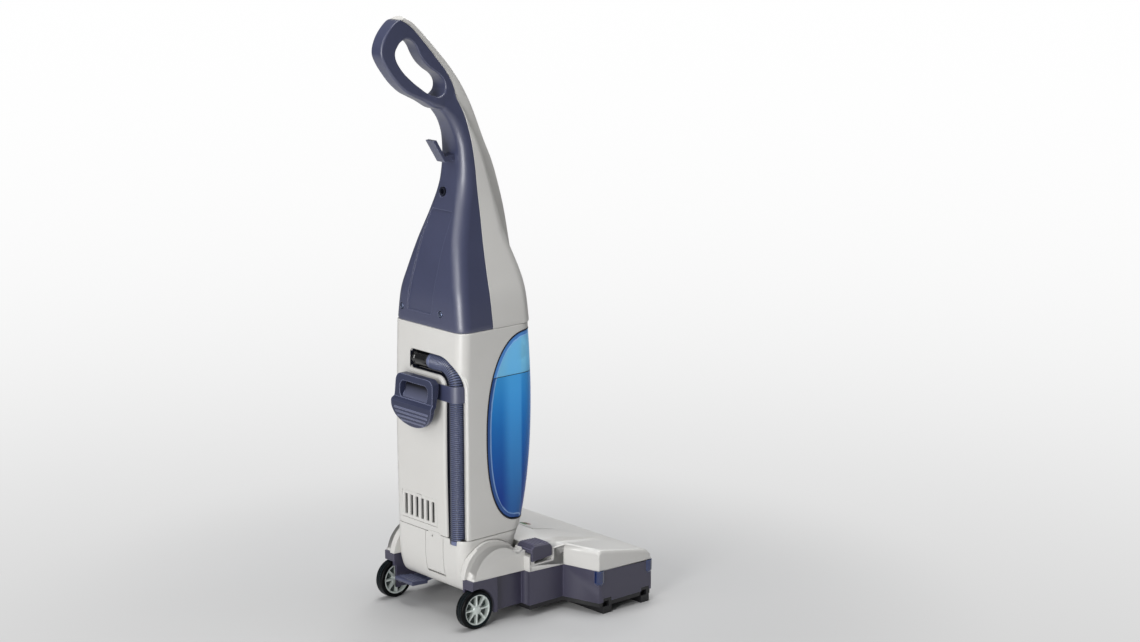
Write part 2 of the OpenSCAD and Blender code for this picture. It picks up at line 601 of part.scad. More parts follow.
// ---------- dust bin ----------
bin_in = seal_t + bin_gap;
function bin_ring(z, in) = let (y = bed_edge(z + (z > bin_mid ? 0.8 : -0.8), bin_in + in) - 0.3, h = housing_w / 2 - in)
    concat([[h, y], [-h, y]], [for (p = front_arc(z, in)) [p.x, min(p.y, y)]]);
module bin_form(z0, z1, in) {
    steps = 8;
    skin([for (i = [0:steps]) let (z = z0 + (z1 - z0) * (1 - cos(i * 180 / steps)) / 2) at_z(bin_ring(z, in), z)]);
}
notch = [-latch_w / 2 - 4, bin_split + 6, bin_split + 61, -74];    // x, foot, top and back wall of the knob's notch
module bin_body() {
    color(clear_blue) placed() difference() {
        bin_form(bin_foot + bin_in, bin_split - 0.3, 0.3);
        bin_form(bin_foot + bin_in + bin_wall, bin_split + 2, 0.3 + bin_wall);
    }
}
module bin_lid() {
    top = bin_top - bin_in;
    color(clear_blue) placed() difference() {
        union() {
            bin_form(bin_split + 0.3, top - 1.5, 0.3);
            latch_block(bin_split + 20, top - 3);
            block([-10, block_y + 1.2, latch_pin.y - 3.4], [10, block_y + 7.6, bin_split + 22]);
        }
        difference() {
            bin_form(bin_split + 0.3 + bin_wall, top - bin_wall - 3, 0.3 + bin_wall);
            block([-150, -200, notch[1] - bin_wall], [notch.x + bin_wall, notch[3] + bin_wall, notch[2] + bin_wall]);
        }
        block([-150, -200, notch[1]], [notch.x, notch[3], notch[2]]);
        block([-tube_w / 2 + 2, tube_y.x + 2, bin_split - 1], [tube_w / 2 - 2, tube_y.y - 2, bin_split + 5]);
        translate([0, filter_y, bin_split - 1]) cylinder(r = filter_r - 6, h = 6);
        block([-10, block_y - 1, bin_split + 30], [10, block_y + 5, bin_split + 71]);
        translate([-20, latch_pin.x, latch_pin.y]) along_x() cylinder(r = latch_pin_r + fit, h = 40);
        translate([knob_at.x, notch[3] - 1, knob_at.z]) rotate([-90, 0, 0]) cylinder(r = 4 + fit, h = 20);
    }
}
block_y = -housing_front - front_crown - 9;
latch_pin = [block_y + 4.4, bin_split + 14];
latch_pin_r = 1.6;
module latch_block(z0, z1) {
    across(-latch_w / 2, latch_w / 2)
        polygon([[block_y, z0], [block_y, z1 - 10], [block_y + 6, z1 - 2], [block_y + 22, z1], [block_y + 22, z0]]);
}
module bin_latch() {
    z0 = bin_split - 62;
    z1 = bin_split + 18;
    y0 = -housing_front - front_crown - 0.6;
    color(clear_blue) placed() {
        difference() {
            across(-latch_w / 2, latch_w / 2) polygon([[block_y, z0 + 4], [block_y, z1], [y0, z1], [y0, z0], [block_y + 3, z0]]);
            translate([0, -200, z0 - 44]) rotate([-90, 0, 0]) cylinder(r = 56, h = 100, $fn = 64);
            block([-10.5, block_y - 1, latch_pin.y - 5], [10.5, y0 + 1, z1 + 1]);
        }
        translate([-11.5, latch_pin.x, latch_pin.y]) along_x() cylinder(r = latch_pin_r, h = 23);
    }
}
module lock_slider() {
    color("#1E6E78") placed() {
        block([-9.6, block_y + 2, bin_split + 51], [9.6, block_y + 4.9, bin_split + 70.6]);
        for (i = [0:2]) block([-7, block_y + 0.8, bin_split + 55 + 5 * i], [7, block_y + 2.1, bin_split + 57 + 5 * i]);
    }
}
knob_at = [-66, notch[3], bin_split + 34];
module filter_knob() {
    flutes = 18;
    color(black) placed() translate(knob_at) rotate([90, 0, 0]) {
        translate([0, 0, 0.4]) difference() {
            cylinder(r = knob_d / 2, h = 34);
            for (i = [0:flutes - 1]) rotate(i * 360 / flutes) translate([knob_d / 2 + 1.2, 0, 4])
                cylinder(r = 2.4, h = 40, $fn = 16);
            translate([0, 0, 32]) cylinder(r = knob_d / 2 - 6, h = 4);
        }
        translate([0, 0, -12]) cylinder(r = 4, h = 13);
    }
}
tube_w = 64;
tube_foot = bin_foot + 71;
filter_foot = bin_foot + 109;
tube_y = [-housing_front + 13, -housing_front + 35];
filter_r = 33;
filter_y = -46.5;
module bin_tube() {
    color("#2E86B8") placed() difference() {
        block([-tube_w / 2, tube_y.x, tube_foot], [tube_w / 2, tube_y.y, bin_split + 0.3]);
        block([-tube_w / 2 + 2, tube_y.x + 2, tube_foot - 12], [tube_w / 2 - 2, tube_y.y - 2, bin_split + 5]);
        translate([0, -housing_front - 10, tube_foot]) rotate([-90, 0, 0]) cylinder(r = 24, h = 60);
    }
}
module bin_filter() {
    color("#3A93C4") placed() translate([0, filter_y, filter_foot]) difference() {
        union() {
            cylinder(r = filter_r, h = bin_split - filter_foot + 0.3);
            translate([0, 0, bin_split - filter_foot - 7.7]) cylinder(r = filter_r + 4.5, h = 8);
            for (i = [0:23]) rotate(i * 15) translate([filter_r - 1, 0, 4])
                cylinder(r = 2.4, h = bin_split - filter_foot - 16, $fn = 8);
        }
        translate([0, 0, 4]) cylinder(r = filter_r - 6, h = 400);
    }
}
module bin_seal() {
    color(black) placed() difference() {
        intersection() {
            housing_form(seam_z + 1, shoulder_z - 1);
            across(-150, 150) difference() {
                polygon(bed(0.02));
                polygon(bed(seal_t));
            }
        }
        housing_form(seam_z, shoulder_z, 7);
    }
}

// ---------- handle ----------
// Rows up the neck. Each holds the rear line, the joint line of the two shells and the front line as
// [y, height above the shoulder], the width, the ridge width and the shoulder's share of the front depth.
neck_rows = [
    [[73, 0], [-6, 0], [-127, 0], 215, 60, 0.876],
    [[70.5, 58], [-5, 58], [-125.5, 58], 200, 60, 0.87],
    [[63, 102], [-7, 102], [-122.5, 102], 176, 60, 0.84],
    [[50, 160], [-12, 160], [-113, 160], 142, 58, 0.75],
    [[31, 216], [-17, 216], [-102.5, 216], 113, 56, 0.66],
    [[17, 262], [-18.5, 262], [-91, 262], 94, 53, 0.6],
    [[9.5, 310], [-18, 310], [-76, 310], 82, 50, 0.52],
    [[12, 356], [-13, 357], [-55, 359], 73, 46, 0.42],
    [[27, 395], [-3, 404], [-32, 416], 60, 42, 0.16],
    [[50, 423], [9, 434], [-16, 448], 49, 39, 0.06]];
// Rows along the hand loop, for the front shell alone.
cap_rows = [
    [[20, 462], [0, 474], 40], [[38, 489], [20, 501], 37], [[62, 517], [47, 531], 35],
    [[91, 548], [77, 562], 34], [[119, 577], [106, 589], 34], [[139, 593], [127, 600], 33]];
// Hand loop: hole and outside as [y, height above the shoulder], and the width there.
loop_rows = [
    [[150, 534], [184, 540], 33], [[147, 518], [177, 516], 33], [[132, 497], [151, 481], 33],
    [[111, 478], [127, 459], 33], [[94, 465], [107, 448], 35], [[77, 453], [86, 438], 39],
    [[55, 445], [55, 421], 46], [[42, 450], [29, 422], 48], [[36, 460], [12.6, 441.3], 44],
    [[38, 474], [20.5, 461.7], 40], [[49, 487], [38.5, 488.6], 37], [[66, 498], [55.5, 508.4], 35],
    [[81, 511], [73.4, 528.3], 34], [[93, 527], [86.4, 542.2], 33], [[102, 544], [99.4, 555.9], 33],
    [[112, 554], [112.4, 569.3], 33], [[124, 558], [128.4, 583.7], 33], [[136, 554], [146, 592], 33],
    [[144, 546], [172, 569], 33]];
nominal_neck = 400;
function up(h) = shoulder_z + min(h, nominal_neck) * neck_h / nominal_neck + max(h - nominal_neck, 0);
function fade(i) = pow(max(1 - i / 7, 0), 2);
function spot(p, dy) = [0, p.x + dy, up(p.y)];
// A neck row as [rear, joint, front, width, ridge width, shoulder share] in real places.
function neck(i) = let (r = neck_rows[i], f = fade(i)) [
    spot(r[0], f * (housing_back - neck_rows[0][0].x)), spot(r[1], 0),
    spot(r[2], -f * (shoulder_front + ridge_rise + neck_rows[0][2].x)),
    r[3] + f * (housing_w - neck_rows[0][3]) + (1 - f) * (grip_w - 33) / 2,
    r[4] + f * (ridge_w - neck_rows[0][4]), r[5]];
rows = [for (i = [0:len(neck_rows) - 1]) neck(i)];
function row_list(k, steps) = sampled([for (r = rows) r[k]], steps);
function cap_list(k) = [for (c = cap_rows) spot(c[k], 0)];
// Half sections as [x, depth]; depth runs from the joint line.
function rear_half(w, d, t) = let (r = max(min(26, 0.3 * w, 0.8 * d) - t, 1), h = w / 2 - t)
    concat([[h, 0]], arc([h - r, d - t - r], r, 0, 90, 4), [[0, d - t]]);
function front_half(w, d, rw, share, t) =
    let (h = w / 2 - t, s = max(d * share - t, 0.4), r = max(min(30, 0.25 * w, 0.9 * s, 0.8 * (h - rw / 2)), 0.3),
         g = min(rw / 2 + 3, h - r - 0.2) - t)
    concat([[h, 0]], arc([h - r, s - r], r, 0, 90, 3),
        [[g, s - 0.1], [rw / 2 - t, max(d - 4 - t, s + 0.3)], [rw / 2 - 4 - t * 0.5, d - t], [0, d - t + 1]]);
function laid(half, from, to) = let (u = (to - from) / norm(to - from))
    [for (p = mirrored_half(half)) from + [p.x, 0, 0] + p.y * u];
function flattened(half, k) = [for (p = half) [p.x, p.y * k]];

neck_steps = 14;
shell_end = 0.3;                     // gap to the housing at the shoulder
module handle_rear() {
    rear = row_list(0, neck_steps);
    joint = row_list(1, neck_steps);
    width = row_list(3, neck_steps);
    function depth(i) = norm(rear[i] - joint[i]);
    function hollow(i) = i > neck_steps - 2 ? 0.03 : 1;
    color(slate) placed() difference() {
        union() {
            moulding([for (i = [0:neck_steps]) laid(rear_half(width[i], depth(i), 0), joint[i], rear[i])],
                [for (i = [0:neck_steps])
                    laid(flattened(rear_half(width[i], depth(i), wall), hollow(i)), joint[i], rear[i])]);
            for (p = screw_spots) translate([p.x, 70, up(p.y)]) rotate([90, 0, 0]) cylinder(r = 8, h = 28);
        }
        translate([cord_x, 60, up(cord_hole_h)]) rotate([90, 0, 0]) cylinder(r = cord_hole_d / 2 + 2, h = 80);
        translate([cord_x, 60, up(cord_hole_h)]) rotate([90, 0, 0]) cylinder(r = cord_hole_d / 2 + 3.3, h = 41);
        for (p = screw_spots) translate([p.x, 90, up(p.y)]) rotate([90, 0, 0]) {
            cylinder(r = 6.2, h = 90 - screw_seat);
            cylinder(r = 2.2, h = 90 - screw_seat + 24);
        }
        block([-12.2, hook_seat, up(318) - 0.2], [12.2, 60, up(318) + 12.2]);
        label_recess();
        loop_form();
    }
}
cord_hole_h = 256;
cord_x = 13;
hook_seat = 9.5;
screw_spots = [[-41, 29], [79, 27]];
screw_seat = housing_back - 6.5;
// Bare sunk panel on the rear shell.
module label_recess() {
    depth = 0.8;
    intersection() {
        translate([0, 120, 0]) rotate([90, 0, 0]) linear_extrude(140)
            polygon([[-14, up(24)], [63, up(24)], [37, up(222)], [-30, up(222)]]);
        rear_panel_band(depth);
    }
}
module rear_panel_band(depth) {
    rear = row_list(0, neck_steps);
    across(-60, 60) polygon(concat([for (i = [0:8]) [rear[i].y - depth, rear[i].z]],
        [for (i = [8:-1:0]) [rear[i].y + 20, rear[i].z]]));
}
module hand_loop() { color(slate) placed() loop_form(); }
module loop_form() {
    n = len(loop_rows);
    rings = [for (i = [0:n - 1]) let (r = loop_rows[i], a = spot(r[0], 0), b = spot(r[1], 0),
        h = (r[2] + grip_w - 33) / 2, d = norm(b - a), u = (b - a) / d, c = min(8, 0.4 * d))
        [for (p = [[h - c, 0], [h - 0.3 * c, 0.3 * c], [h, c], [h, d - c], [h - 0.3 * c, d - 0.3 * c], [h - c, d],
            [c - h, d], [0.3 * c - h, d - 0.3 * c], [-h, d - c], [-h, c], [0.3 * c - h, 0.3 * c], [c - h, 0]])
            a + [p.x, 0, 0] + p.y * u]];
    k = 12;
    polyhedron(points = [for (r = rings) each r],
        faces = [for (j = [0:n - 1]) for (i = [0:k - 1]) let (a = j * k, b = ((j + 1) % n) * k, e = (i + 1) % k)
            each [[a + i, b + e, b + i], [a + i, a + e, b + e]]]);
}
module handle_front() {
    joint = concat(row_list(1, neck_steps), cap_list(0));
    front = concat(row_list(2, neck_steps), cap_list(1));
    width = concat(row_list(3, neck_steps), [for (c = cap_rows) c[2] + grip_w - 33]);
    ridge = concat(row_list(4, neck_steps), [for (c = cap_rows) c[2] - 3 + grip_w - 33]);
    share = concat(row_list(5, neck_steps), [for (c = cap_rows) 0.05]);
    m = len(joint) - 1;
    function half(i, t) = front_half(width[i], norm(front[i] - joint[i]), ridge[i], share[i], t);
    color(shell_grey) placed() difference() {
        moulding([for (i = [m:-1:0]) laid(half(i, 0), joint[i], front[i])],
            [for (i = [m:-1:0]) laid(flattened(half(i, wall), i == m ? 0.03 : 1), joint[i], front[i])]);
        ridge_frame() block([-frame_w / 2 - 0.2, -frame_l / 2 - 0.2, -6], [frame_w / 2 + 0.2, frame_l / 2 + 0.2, 10]);
        button_frame() cylinder(r = 9.2, h = 30, center = true);
    }
}
// Frame of reference lying on the ridge at the switches, z out of the ridge.
switch_h = 283;
frame_w = 32;
frame_l = 78;
function ridge_at(h) = let (i = [for (k = [0:len(rows) - 2]) if (rows[k][2].z <= up(h)) k],
    a = rows[max(i)][2], b = rows[max(i) + 1][2], f = (up(h) - a.z) / (b.z - a.z)) a + (b - a) * f;
module on_ridge(h) {
    a = ridge_at(h - 20);
    b = ridge_at(h + 20);
    translate(ridge_at(h)) rotate([atan2(b.z - a.z, b.y - a.y), 0, 0]) children();
}
module ridge_frame() { on_ridge(switch_h) children(); }
module button_frame() { on_ridge(button_h) children(); }
button_h = 412;
module switch_frame() {
    color(black) placed() ridge_frame() difference() {
        intersection() {
            block([-frame_w / 2, -frame_l / 2, -5], [frame_w / 2, frame_l / 2, 2.4]);
            union() {
                translate([0, frame_w / 2 - frame_l / 2, -6]) cylinder(r = frame_w / 2, h = 12);
                block([-20, frame_w / 2 - frame_l / 2, -6], [20, frame_l, 6]);
            }
        }
        for (s = [-1, 1]) block([-12.4, s * 19 - 13.4, -3], [12.4, s * 19 + 13.4, 6]);
    }
    color(black) placed() ridge_frame() for (s = [-1, 1])
        translate([0, s * 19, 0]) across(-13, 13) circle(r = rocker_pin);
}
rocker_pin = 1;
rocker_tilt = 7;
module rocker(side, paint) {
    color(paint) placed() ridge_frame() translate([0, side * 19, 0]) {
        rotate([-rocker_tilt, 0, 0]) across(-12, 12) difference() {
            polygon([[-12.4, -0.8], [0, -2.4], [12.4, -0.8], [12.4, 3], [0, 2], [-12.4, 3]]);
            circle(r = rocker_pin + 0.15);
        }
    }
}
module rocker_green() { rocker(1, "#0F7A55"); }
module rocker_red() { rocker(-1, "#8C1218"); }
module handle_button() {
    color("#D8C51E") placed() button_frame() {
        cylinder(r = 8.6, h = 4.4);
        translate([0, 0, -6]) cylinder(r = 7, h = 7);
    }
}
module handle_screws() {
    color(silver) placed() for (p = screw_spots) translate([p.x, screw_seat, up(p.y)]) rotate([-90, 0, 0])
        difference() {
            union() {
                cylinder(r = 5.8, h = 3);
                translate([0, 0, -24]) cylinder(r = 2.2, h = 24.5);
            }
            block([-8, -0.8, 2], [8, 0.8, 4]);
        }
}
module upper_hook() {
    z0 = up(318);
    y0 = hook_seat;
    color(slate) placed() across(-12, 12)
        polygon([[y0, z0], [y0 + 24, z0 - 2], [y0 + 52, z0 + 42], [y0 + 43, z0 + 43], [y0 + 22, z0 + 9], [y0, z0 + 12]]);
}
module cord_gland() {
    color(black) placed() translate([cord_x, 11, up(cord_hole_h)]) rotate([-90, 0, 0]) difference() {
        union() {
            cylinder(r = cord_hole_d / 2 + 2, h = 8);
            translate([0, 0, 8]) cylinder(r = cord_hole_d / 2 + 3, h = 2);
        }
        translate([0, 0, -1]) cylinder(r = cord_hole_d / 2, h = 20);
    }
}

// ---------- floor head ----------
step_y = -54;                        // where the flanks step in to the arms
waist_x = 129.3;                     // chassis between the wheel block and the flank
sweep = [-164, -142];                // rear edge of the wing at its tip and at its root
arm_back = 78;
opening_y = -foot_front + 10.5;      // front edge of the opening for the housing
opening_x = housing_w / 2 + 1.5;
function wing_back(x) = x < -head_half ? sweep[1] + (sweep[0] - sweep[1]) * (-x - head_half) / wing_w : step_y;
function head_plan(in) = [[-wing_x + in, -head_front + in], [head_half - in, -head_front + in],
    [head_half - in, step_y - in], [waist_x, step_y - in], [-waist_x, step_y - in], [-head_half + in, step_y - in],
    [-head_half + in, sweep[1] - in], [-wing_x + in, sweep[0] - in]];
seam_back = 97.6;
function seam_at(y) = head_seam + (seam_back - head_seam) * (y + head_front) / (head_front + arm_back);
module below_seam(drop = 0) {
    across(-300, 300) polygon([[-400, 0], [-400, seam_at(-400) - drop], [200, seam_at(200) - drop], [200, 0]]);
}
module chassis() {
    floor_t = wall;
    color(plum) placed() difference() {
        union() {
            intersection() {
                translate([0, 0, chassis_z]) linear_extrude(100) polygon(head_plan(0));
                below_seam(0.2);
            }
            each_side() intersection() {
                union() {
                    block([opening_x, step_y - 1, chassis_z], [waist_x, 16, 120]);
                    block([ear_in, 15, chassis_z], [arm_out, arm_back, 120]);
                }
                below_seam(0.2);
            }
        }
        difference() {
            translate([0, 0, chassis_z + floor_t]) linear_extrude(100) polygon(head_plan(wall));
            block([-opening_x - wall, opening_y - wall, 0], [opening_x + wall, 100, 300]);
        }
        // opening for the housing
        block([-opening_x, opening_y, 0], [opening_x, 100, 120]);
        each_side() block([opening_x + wall, step_y - 5 - wall, chassis_z + floor_t], [waist_x - wall, 15 - wall, 120]);
        each_side() wheel_well();
        each_side() translate([90, axle_y, wheel_d / 2]) along_x() cylinder(r = axle_d / 2, h = 60);
        each_side() translate([90, pivot_y, pivot_z]) along_x() cylinder(r = trunnion_r, h = 34);
        // window over the brush
        block([-wing_x + wall, brush_y - 33, 0], [head_half - wall, brush_y + 33, chassis_z + 10]);
        strip_cuts(0.2);
        bumper_forms(0);
    }
}
module wheel_well() {
    r = wheel_d / 2 + 3;
    translate([ear_in + 9, axle_y, wheel_d / 2]) along_x() cylinder(r = r, h = 60);
    block([ear_in + 9, axle_y, 0], [200, 200, wheel_d / 2 + 1]);
    block([0, axle_y + 8, 0], [200, 200, wheel_d / 2 + 32]);
    block([ear_in + 9, axle_y - r, 0], [200, 200, wheel_d / 2]);
}
brush_y = -240;
brush_z = brush_d / 2 + 2.5;
module sole_plate() {
    color(black) placed() difference() {
        translate([0, 0, sole_z]) linear_extrude(chassis_z - sole_z) polygon(head_plan(2));
        block([-opening_x - 6, opening_y - 12, 0], [opening_x + 6, 0, 50]);
        block([-wing_x + 18, brush_y - 31, 0], [head_half - 7, brush_y + 31, 50]);
        strip_cuts(0.2);
    }
}
sole_z = 15;
strip_d = 22;
strip_ys = [-300, -198];
module strip_cuts(grow) {
    for (y = strip_ys) for (x = [-wing_x, head_half - 10])
        block([x - grow - (x < 0 ? 5 : 0), y - grow, 0], [x + 10 + grow + (x > 0 ? 5 : 0), y + strip_d + grow, 32 + grow]);
}
module glide_strips() {
    color(black) placed() for (y = strip_ys) {
        block([-wing_x + 0.5, y, 0], [head_half - 0.5, y + strip_d, sole_z]);
        for (x = [-wing_x + 0.5, head_half - 10]) difference() {
            block([x, y, sole_z - 5], [x + 9.5, y + strip_d, 32]);
            block([x - 5, y + 7, 12], [x + 15, y + strip_d + 1, 26]);
        }
    }
}
bumper_in = bumper_r - bumper_out;
bumper_spots = [[-wing_x, -head_front, 1, 1], [head_half, -head_front, -1, 1],
    [-wing_x, sweep[0], 1, -1], [head_half, step_y, -1, -1]];
module bumper_forms(grow) {
    for (b = bumper_spots) translate([b[0] + b[2] * bumper_in, b[1] + b[3] * bumper_in, 0]) {
        z1 = seam_at(b[1]) - 0.6;
        translate([0, 0, 68]) cylinder(r = bumper_r + grow, h = z1 - 68);
        translate([0, 0, 68]) sphere(r = bumper_r + grow);
    }
}
module corner_bumpers() { color("#1C2C6E") placed() bumper_forms(0); }

// Cover: rings of its side outline at places across x, so that its edges can be rounded.
nose_h = 18;                          // height of the cover's front face
cover_round = 9;
crease_y = -143;
function cover_height(x) = x < -waist_x ? cover_top - 8 : cover_top;
function cover_ring(x, drop, in) =
    let (yb = wing_back(x) - in, top = cover_height(x) - drop - in, yc = min(crease_y, yb - 6),
         yf = -head_front + in, zb = in > 0 ? -20 : 0, nose = head_seam + nose_h - in - drop)
    [for (p = [[yb, seam_at(yb) + zb], [yb, top - cover_round], [yb - 2.6, top - 2.6], [yb - cover_round, top],
        [yc - 5, top - 0.6], [yf + 24, nose + 7], [yf + 9, nose + 2], [yf + 2.6, nose - 3], [yf, nose - 11],
        [yf, seam_at(yf) + zb]]) [x, p.x, p.y]];
cover_xs = [[-wing_x, 9], [-wing_x + 2.6, 2.6], [-wing_x + 9, 0], [-head_half - 2, 0], [-head_half + 0.01, 0],
    [-waist_x - 0.5, 0], [-waist_x + 2.5, 0], [0, 0], [head_half - 9, 0], [head_half - 2.6, 2.6], [head_half, 9]];
module cover_form(in) {
    skin([for (c = cover_xs) cover_ring(c[0] + (c[0] < -200 ? in : c[0] > 140 ? -in : 0), c[1], in)]);
}
module ear_form(in) {
    translate([ear_in + in, pivot_y, pivot_z]) along_x() cylinder(r = ear_r - in, h = 13 - in, $fn = 72);
    translate([ear_in + in, pivot_y, pivot_z]) along_x() cylinder(r = ear_r - 10 - in, h = arm_out - ear_in - 2 * in, $fn = 72);
    across(ear_in + in, arm_out - in) polygon([[arm_back - 2, 0], [arm_back - 2, 96], [60, 118 - in], [-30, 130 - in],
        [step_y - 4, cover_top - 6 - in], [step_y - 4, 0]]);
}
module top_cover() {
    color(shell_grey) placed() difference() {
        union() {
            difference() {
                cover_form(0);
                difference() {
                    cover_form(wall);
                    block([-opening_x - wall, opening_y - wall, 0], [opening_x + wall, 200, 300]);
                    pedal_box(wall);
                }
            }
            intersection() {
                each_side() ear_form(0);
                across(-300, 300) polygon([[-400, seam_at(-400)], [-400, 300], [200, 300], [200, seam_at(200)]]);
            }
        }
        difference() {
            block([-opening_x, opening_y, 0], [opening_x, 200, 300]);
            each_side() block([ear_in, step_y + 8, 0], [200, 200, 300]);
        }
        block([-ear_in, opening_y, 0], [ear_in, 200, 300]);
        each_side() ear_hollow();
        indicator_form();
        pedal_box(0);
        translate([0, side_pin.x, side_pin.y]) rotate([0, -90, 0]) cylinder(r = side_pin_r, h = 150);
    }
    color(shell_grey) placed() for (x = [-side_pedal_x - 3.6, -side_pedal_w - 2.6]) difference() {
        block([x, side_pin.x - 4, pedal_floor - 0.1], [x + 3, side_pin.x + 4, side_pin.y + 3.6]);
        translate([x - 1, side_pin.x, side_pin.y]) along_x() cylinder(r = side_pin_r, h = 6);
    }
}
module ear_hollow() {
    translate([ear_in + wall, pivot_y, pivot_z]) along_x() cylinder(r = ear_r - 10 - wall, h = arm_out - ear_in - 2 * wall);
    translate([90, pivot_y, pivot_z]) along_x() cylinder(r = trunnion_r, h = 34);
}
// Raised indicator panel on the cover's slope.
slope = atan2(cover_top - head_seam - nose_h - 7, -crease_y * -1 + head_front - 24 - 5);
panel_w = 92;
module on_cover() {
    translate([-12, -172, cover_top - 0.6 + (crease_y - 5 + 172) * -tan(slope)]) rotate([slope, 0, 0]) children();
}
module indicator_form() { on_cover() block([-panel_w / 2, -30, -1.4], [panel_w / 2, 26, 0.8]); }
module indicator_panel() {
    color(shell_grey) placed() difference() {
        indicator_form();
        on_cover() block([-9, -2, 0], [9, 16, 5]);
    }
}
module lens(y0, y1, paint) { color(paint) placed() on_cover() block([-8.6, y0, 0], [8.6, y1, 1.4]); }
module indicator_lenses() {
    lens(7.2, 15.6, "#1E7A2E");
    lens(-1.6, 6.8, "#8C1414");
}

// Brush roller, its motor and belt.
belt_x = head_half - 17;
motor_spot = [0, -160, 74];
module brush_roller() {
    l0 = -wing_x + 22;
    l1 = head_half - 26;
    color("#26303F") placed() translate([0, brush_y, brush_z]) difference() {
        union() {
            translate([l0, 0, 0]) along_x() cylinder(r = brush_core_d / 2, h = l1 - l0);
            for (a = [0, 180]) rotate([a, 0, 0]) translate([l0 + 6, 0, 0]) along_x()
                linear_extrude(l1 - l0 - 12, twist = 360, slices = 30, $fn = 4) translate([brush_core_d / 2 - 1, -2])
                    square([(brush_d - brush_core_d) / 2 + 1, 4]);
            translate([l1 - 1, 0, 0]) along_x() cylinder(r = 10, h = 16);
        }
        translate([l0 - 1, 0, 0]) along_x() cylinder(r = 5 + fit, h = l1 - l0 + 30);
    }
}
module brush_bearings() {
    l0 = -wing_x + 22;
    l1 = head_half - 26;
    color(silver) placed() translate([0, brush_y, brush_z]) {
        translate([-wing_x + wall, 0, 0]) along_x() cylinder(r = 5, h = l1 + 20 + wing_x);
        translate([-wing_x + wall, 0, 0]) along_x() cylinder(r = 6.8, h = 22 - wall - 1);
        translate([head_half - 10, 0, 0]) along_x() cylinder(r = 6.8, h = 10 - wall);
    }
}
module brush_motor() {
    color(silver) placed() translate(motor_spot) difference() {
        union() {
            translate([20, 0, 0]) along_x() cylinder(r = 30, h = 96);
            block([30, -24, chassis_z + wall - motor_spot.z], [106, 24, -20]);
        }
        translate([60, 0, 0]) along_x() cylinder(r = 4 + fit, h = 70);
    }
}
module motor_pulley() {
    color("#8C9092") placed() translate(motor_spot) {
        translate([70, 0, 0]) along_x() cylinder(r = 4, h = head_half - 78);
        translate([belt_x - 6, 0, 0]) along_x() cylinder(r = 9, h = 12);
    }
}
module drive_belt() {
    module loop(g) {
        hull() {
            translate([motor_spot.y, motor_spot.z]) circle(r = 9.3 + g);
            translate([brush_y, brush_z]) circle(r = 10.3 + g);
        }
    }
    color(black) placed() across(belt_x - 5, belt_x + 5) difference() {
        loop(2);
        loop(0);
    }
}
module head_duct() {
    color(black) placed() difference() {
        union() {
            block([-waist_x - 12, -208, 40], [-opening_x - wall - 0.4, step_y - 8, 84]);
            block([-waist_x + wall + 0.4, step_y - 9, 56], [-opening_x - wall - 0.4, pivot_y, 84]);
        }
        block([-waist_x - 10, -210, 42], [-opening_x - wall - 2.4, step_y - 10, 82]);
        block([-waist_x + wall + 2.4, step_y - 12, 58], [-opening_x - wall - 2.4, pivot_y - 2, 82]);
    }
}
module pivot_trunnions() {
    color(silver) placed() each_side() translate([ear_in - 10.8, pivot_y, pivot_z]) along_x()
        tube(trunnion_r, trunnion_r - 4, 10.8 + wall + 1);
}
module pivot_bushes() {
    color(black) placed() each_side() translate([cheek_x - bush_l, pivot_y, pivot_z]) along_x()
        tube(bush_r, trunnion_r + fit, bush_l);
}
// Wheels: rubber tyre on a spoked hub.
wheel_z = wheel_d / 2;
wheel_x = arm_out + 0.3 - wheel_w;
tyre_t = 8;
hub_r = wheel_d / 2 - tyre_t;
module stub_axles() {
    color(silver) placed() each_side() translate([ear_in + 0.5, axle_y, wheel_z]) along_x()
        cylinder(r = axle_d / 2, h = wheel_x + wheel_w - 5.5 - ear_in);
}
module tyre_form() {
    along_x() rotate_extrude($fn = 64) polygon([[hub_r, 0], [wheel_d / 2 - 3, 0], [wheel_d / 2, 3],
        [wheel_d / 2, wheel_w - 5], [wheel_d / 2 - 2, wheel_w - 2], [wheel_d / 2 - 5, wheel_w], [hub_r, wheel_w]]);
}
module hub_form() {
    difference() {
        union() {
            along_x() tube(hub_r - 0.05, hub_r - 3.5, wheel_w - 1);
            translate([4, 0, 0]) along_x() cylinder(r = hub_r - 1, h = 3);
            translate([2, 0, 0]) along_x() cylinder(r = 10, h = wheel_w - 3);
            for (i = [0:spokes - 1]) rotate([i * 360 / spokes, 0, 0])
                block([5, -1.8, 7], [wheel_w - 3, 1.8, hub_r - 2]);
        }
        translate([-1, 0, 0]) along_x() cylinder(r = axle_d / 2 + fit, h = wheel_w - 3);
    }
}
module wheel_place() { translate([wheel_x, axle_y, wheel_z]) children(); }
module tyre_left() { color(black) placed() mirror([1, 0, 0]) wheel_place() tyre_form(); }
module hub_left() { color(silver) placed() mirror([1, 0, 0]) wheel_place() hub_form(); }
module tyre_right() { color(black) placed() wheel_place() tyre_form(); }
module hub_right() { color(silver) placed() wheel_place() hub_form(); }

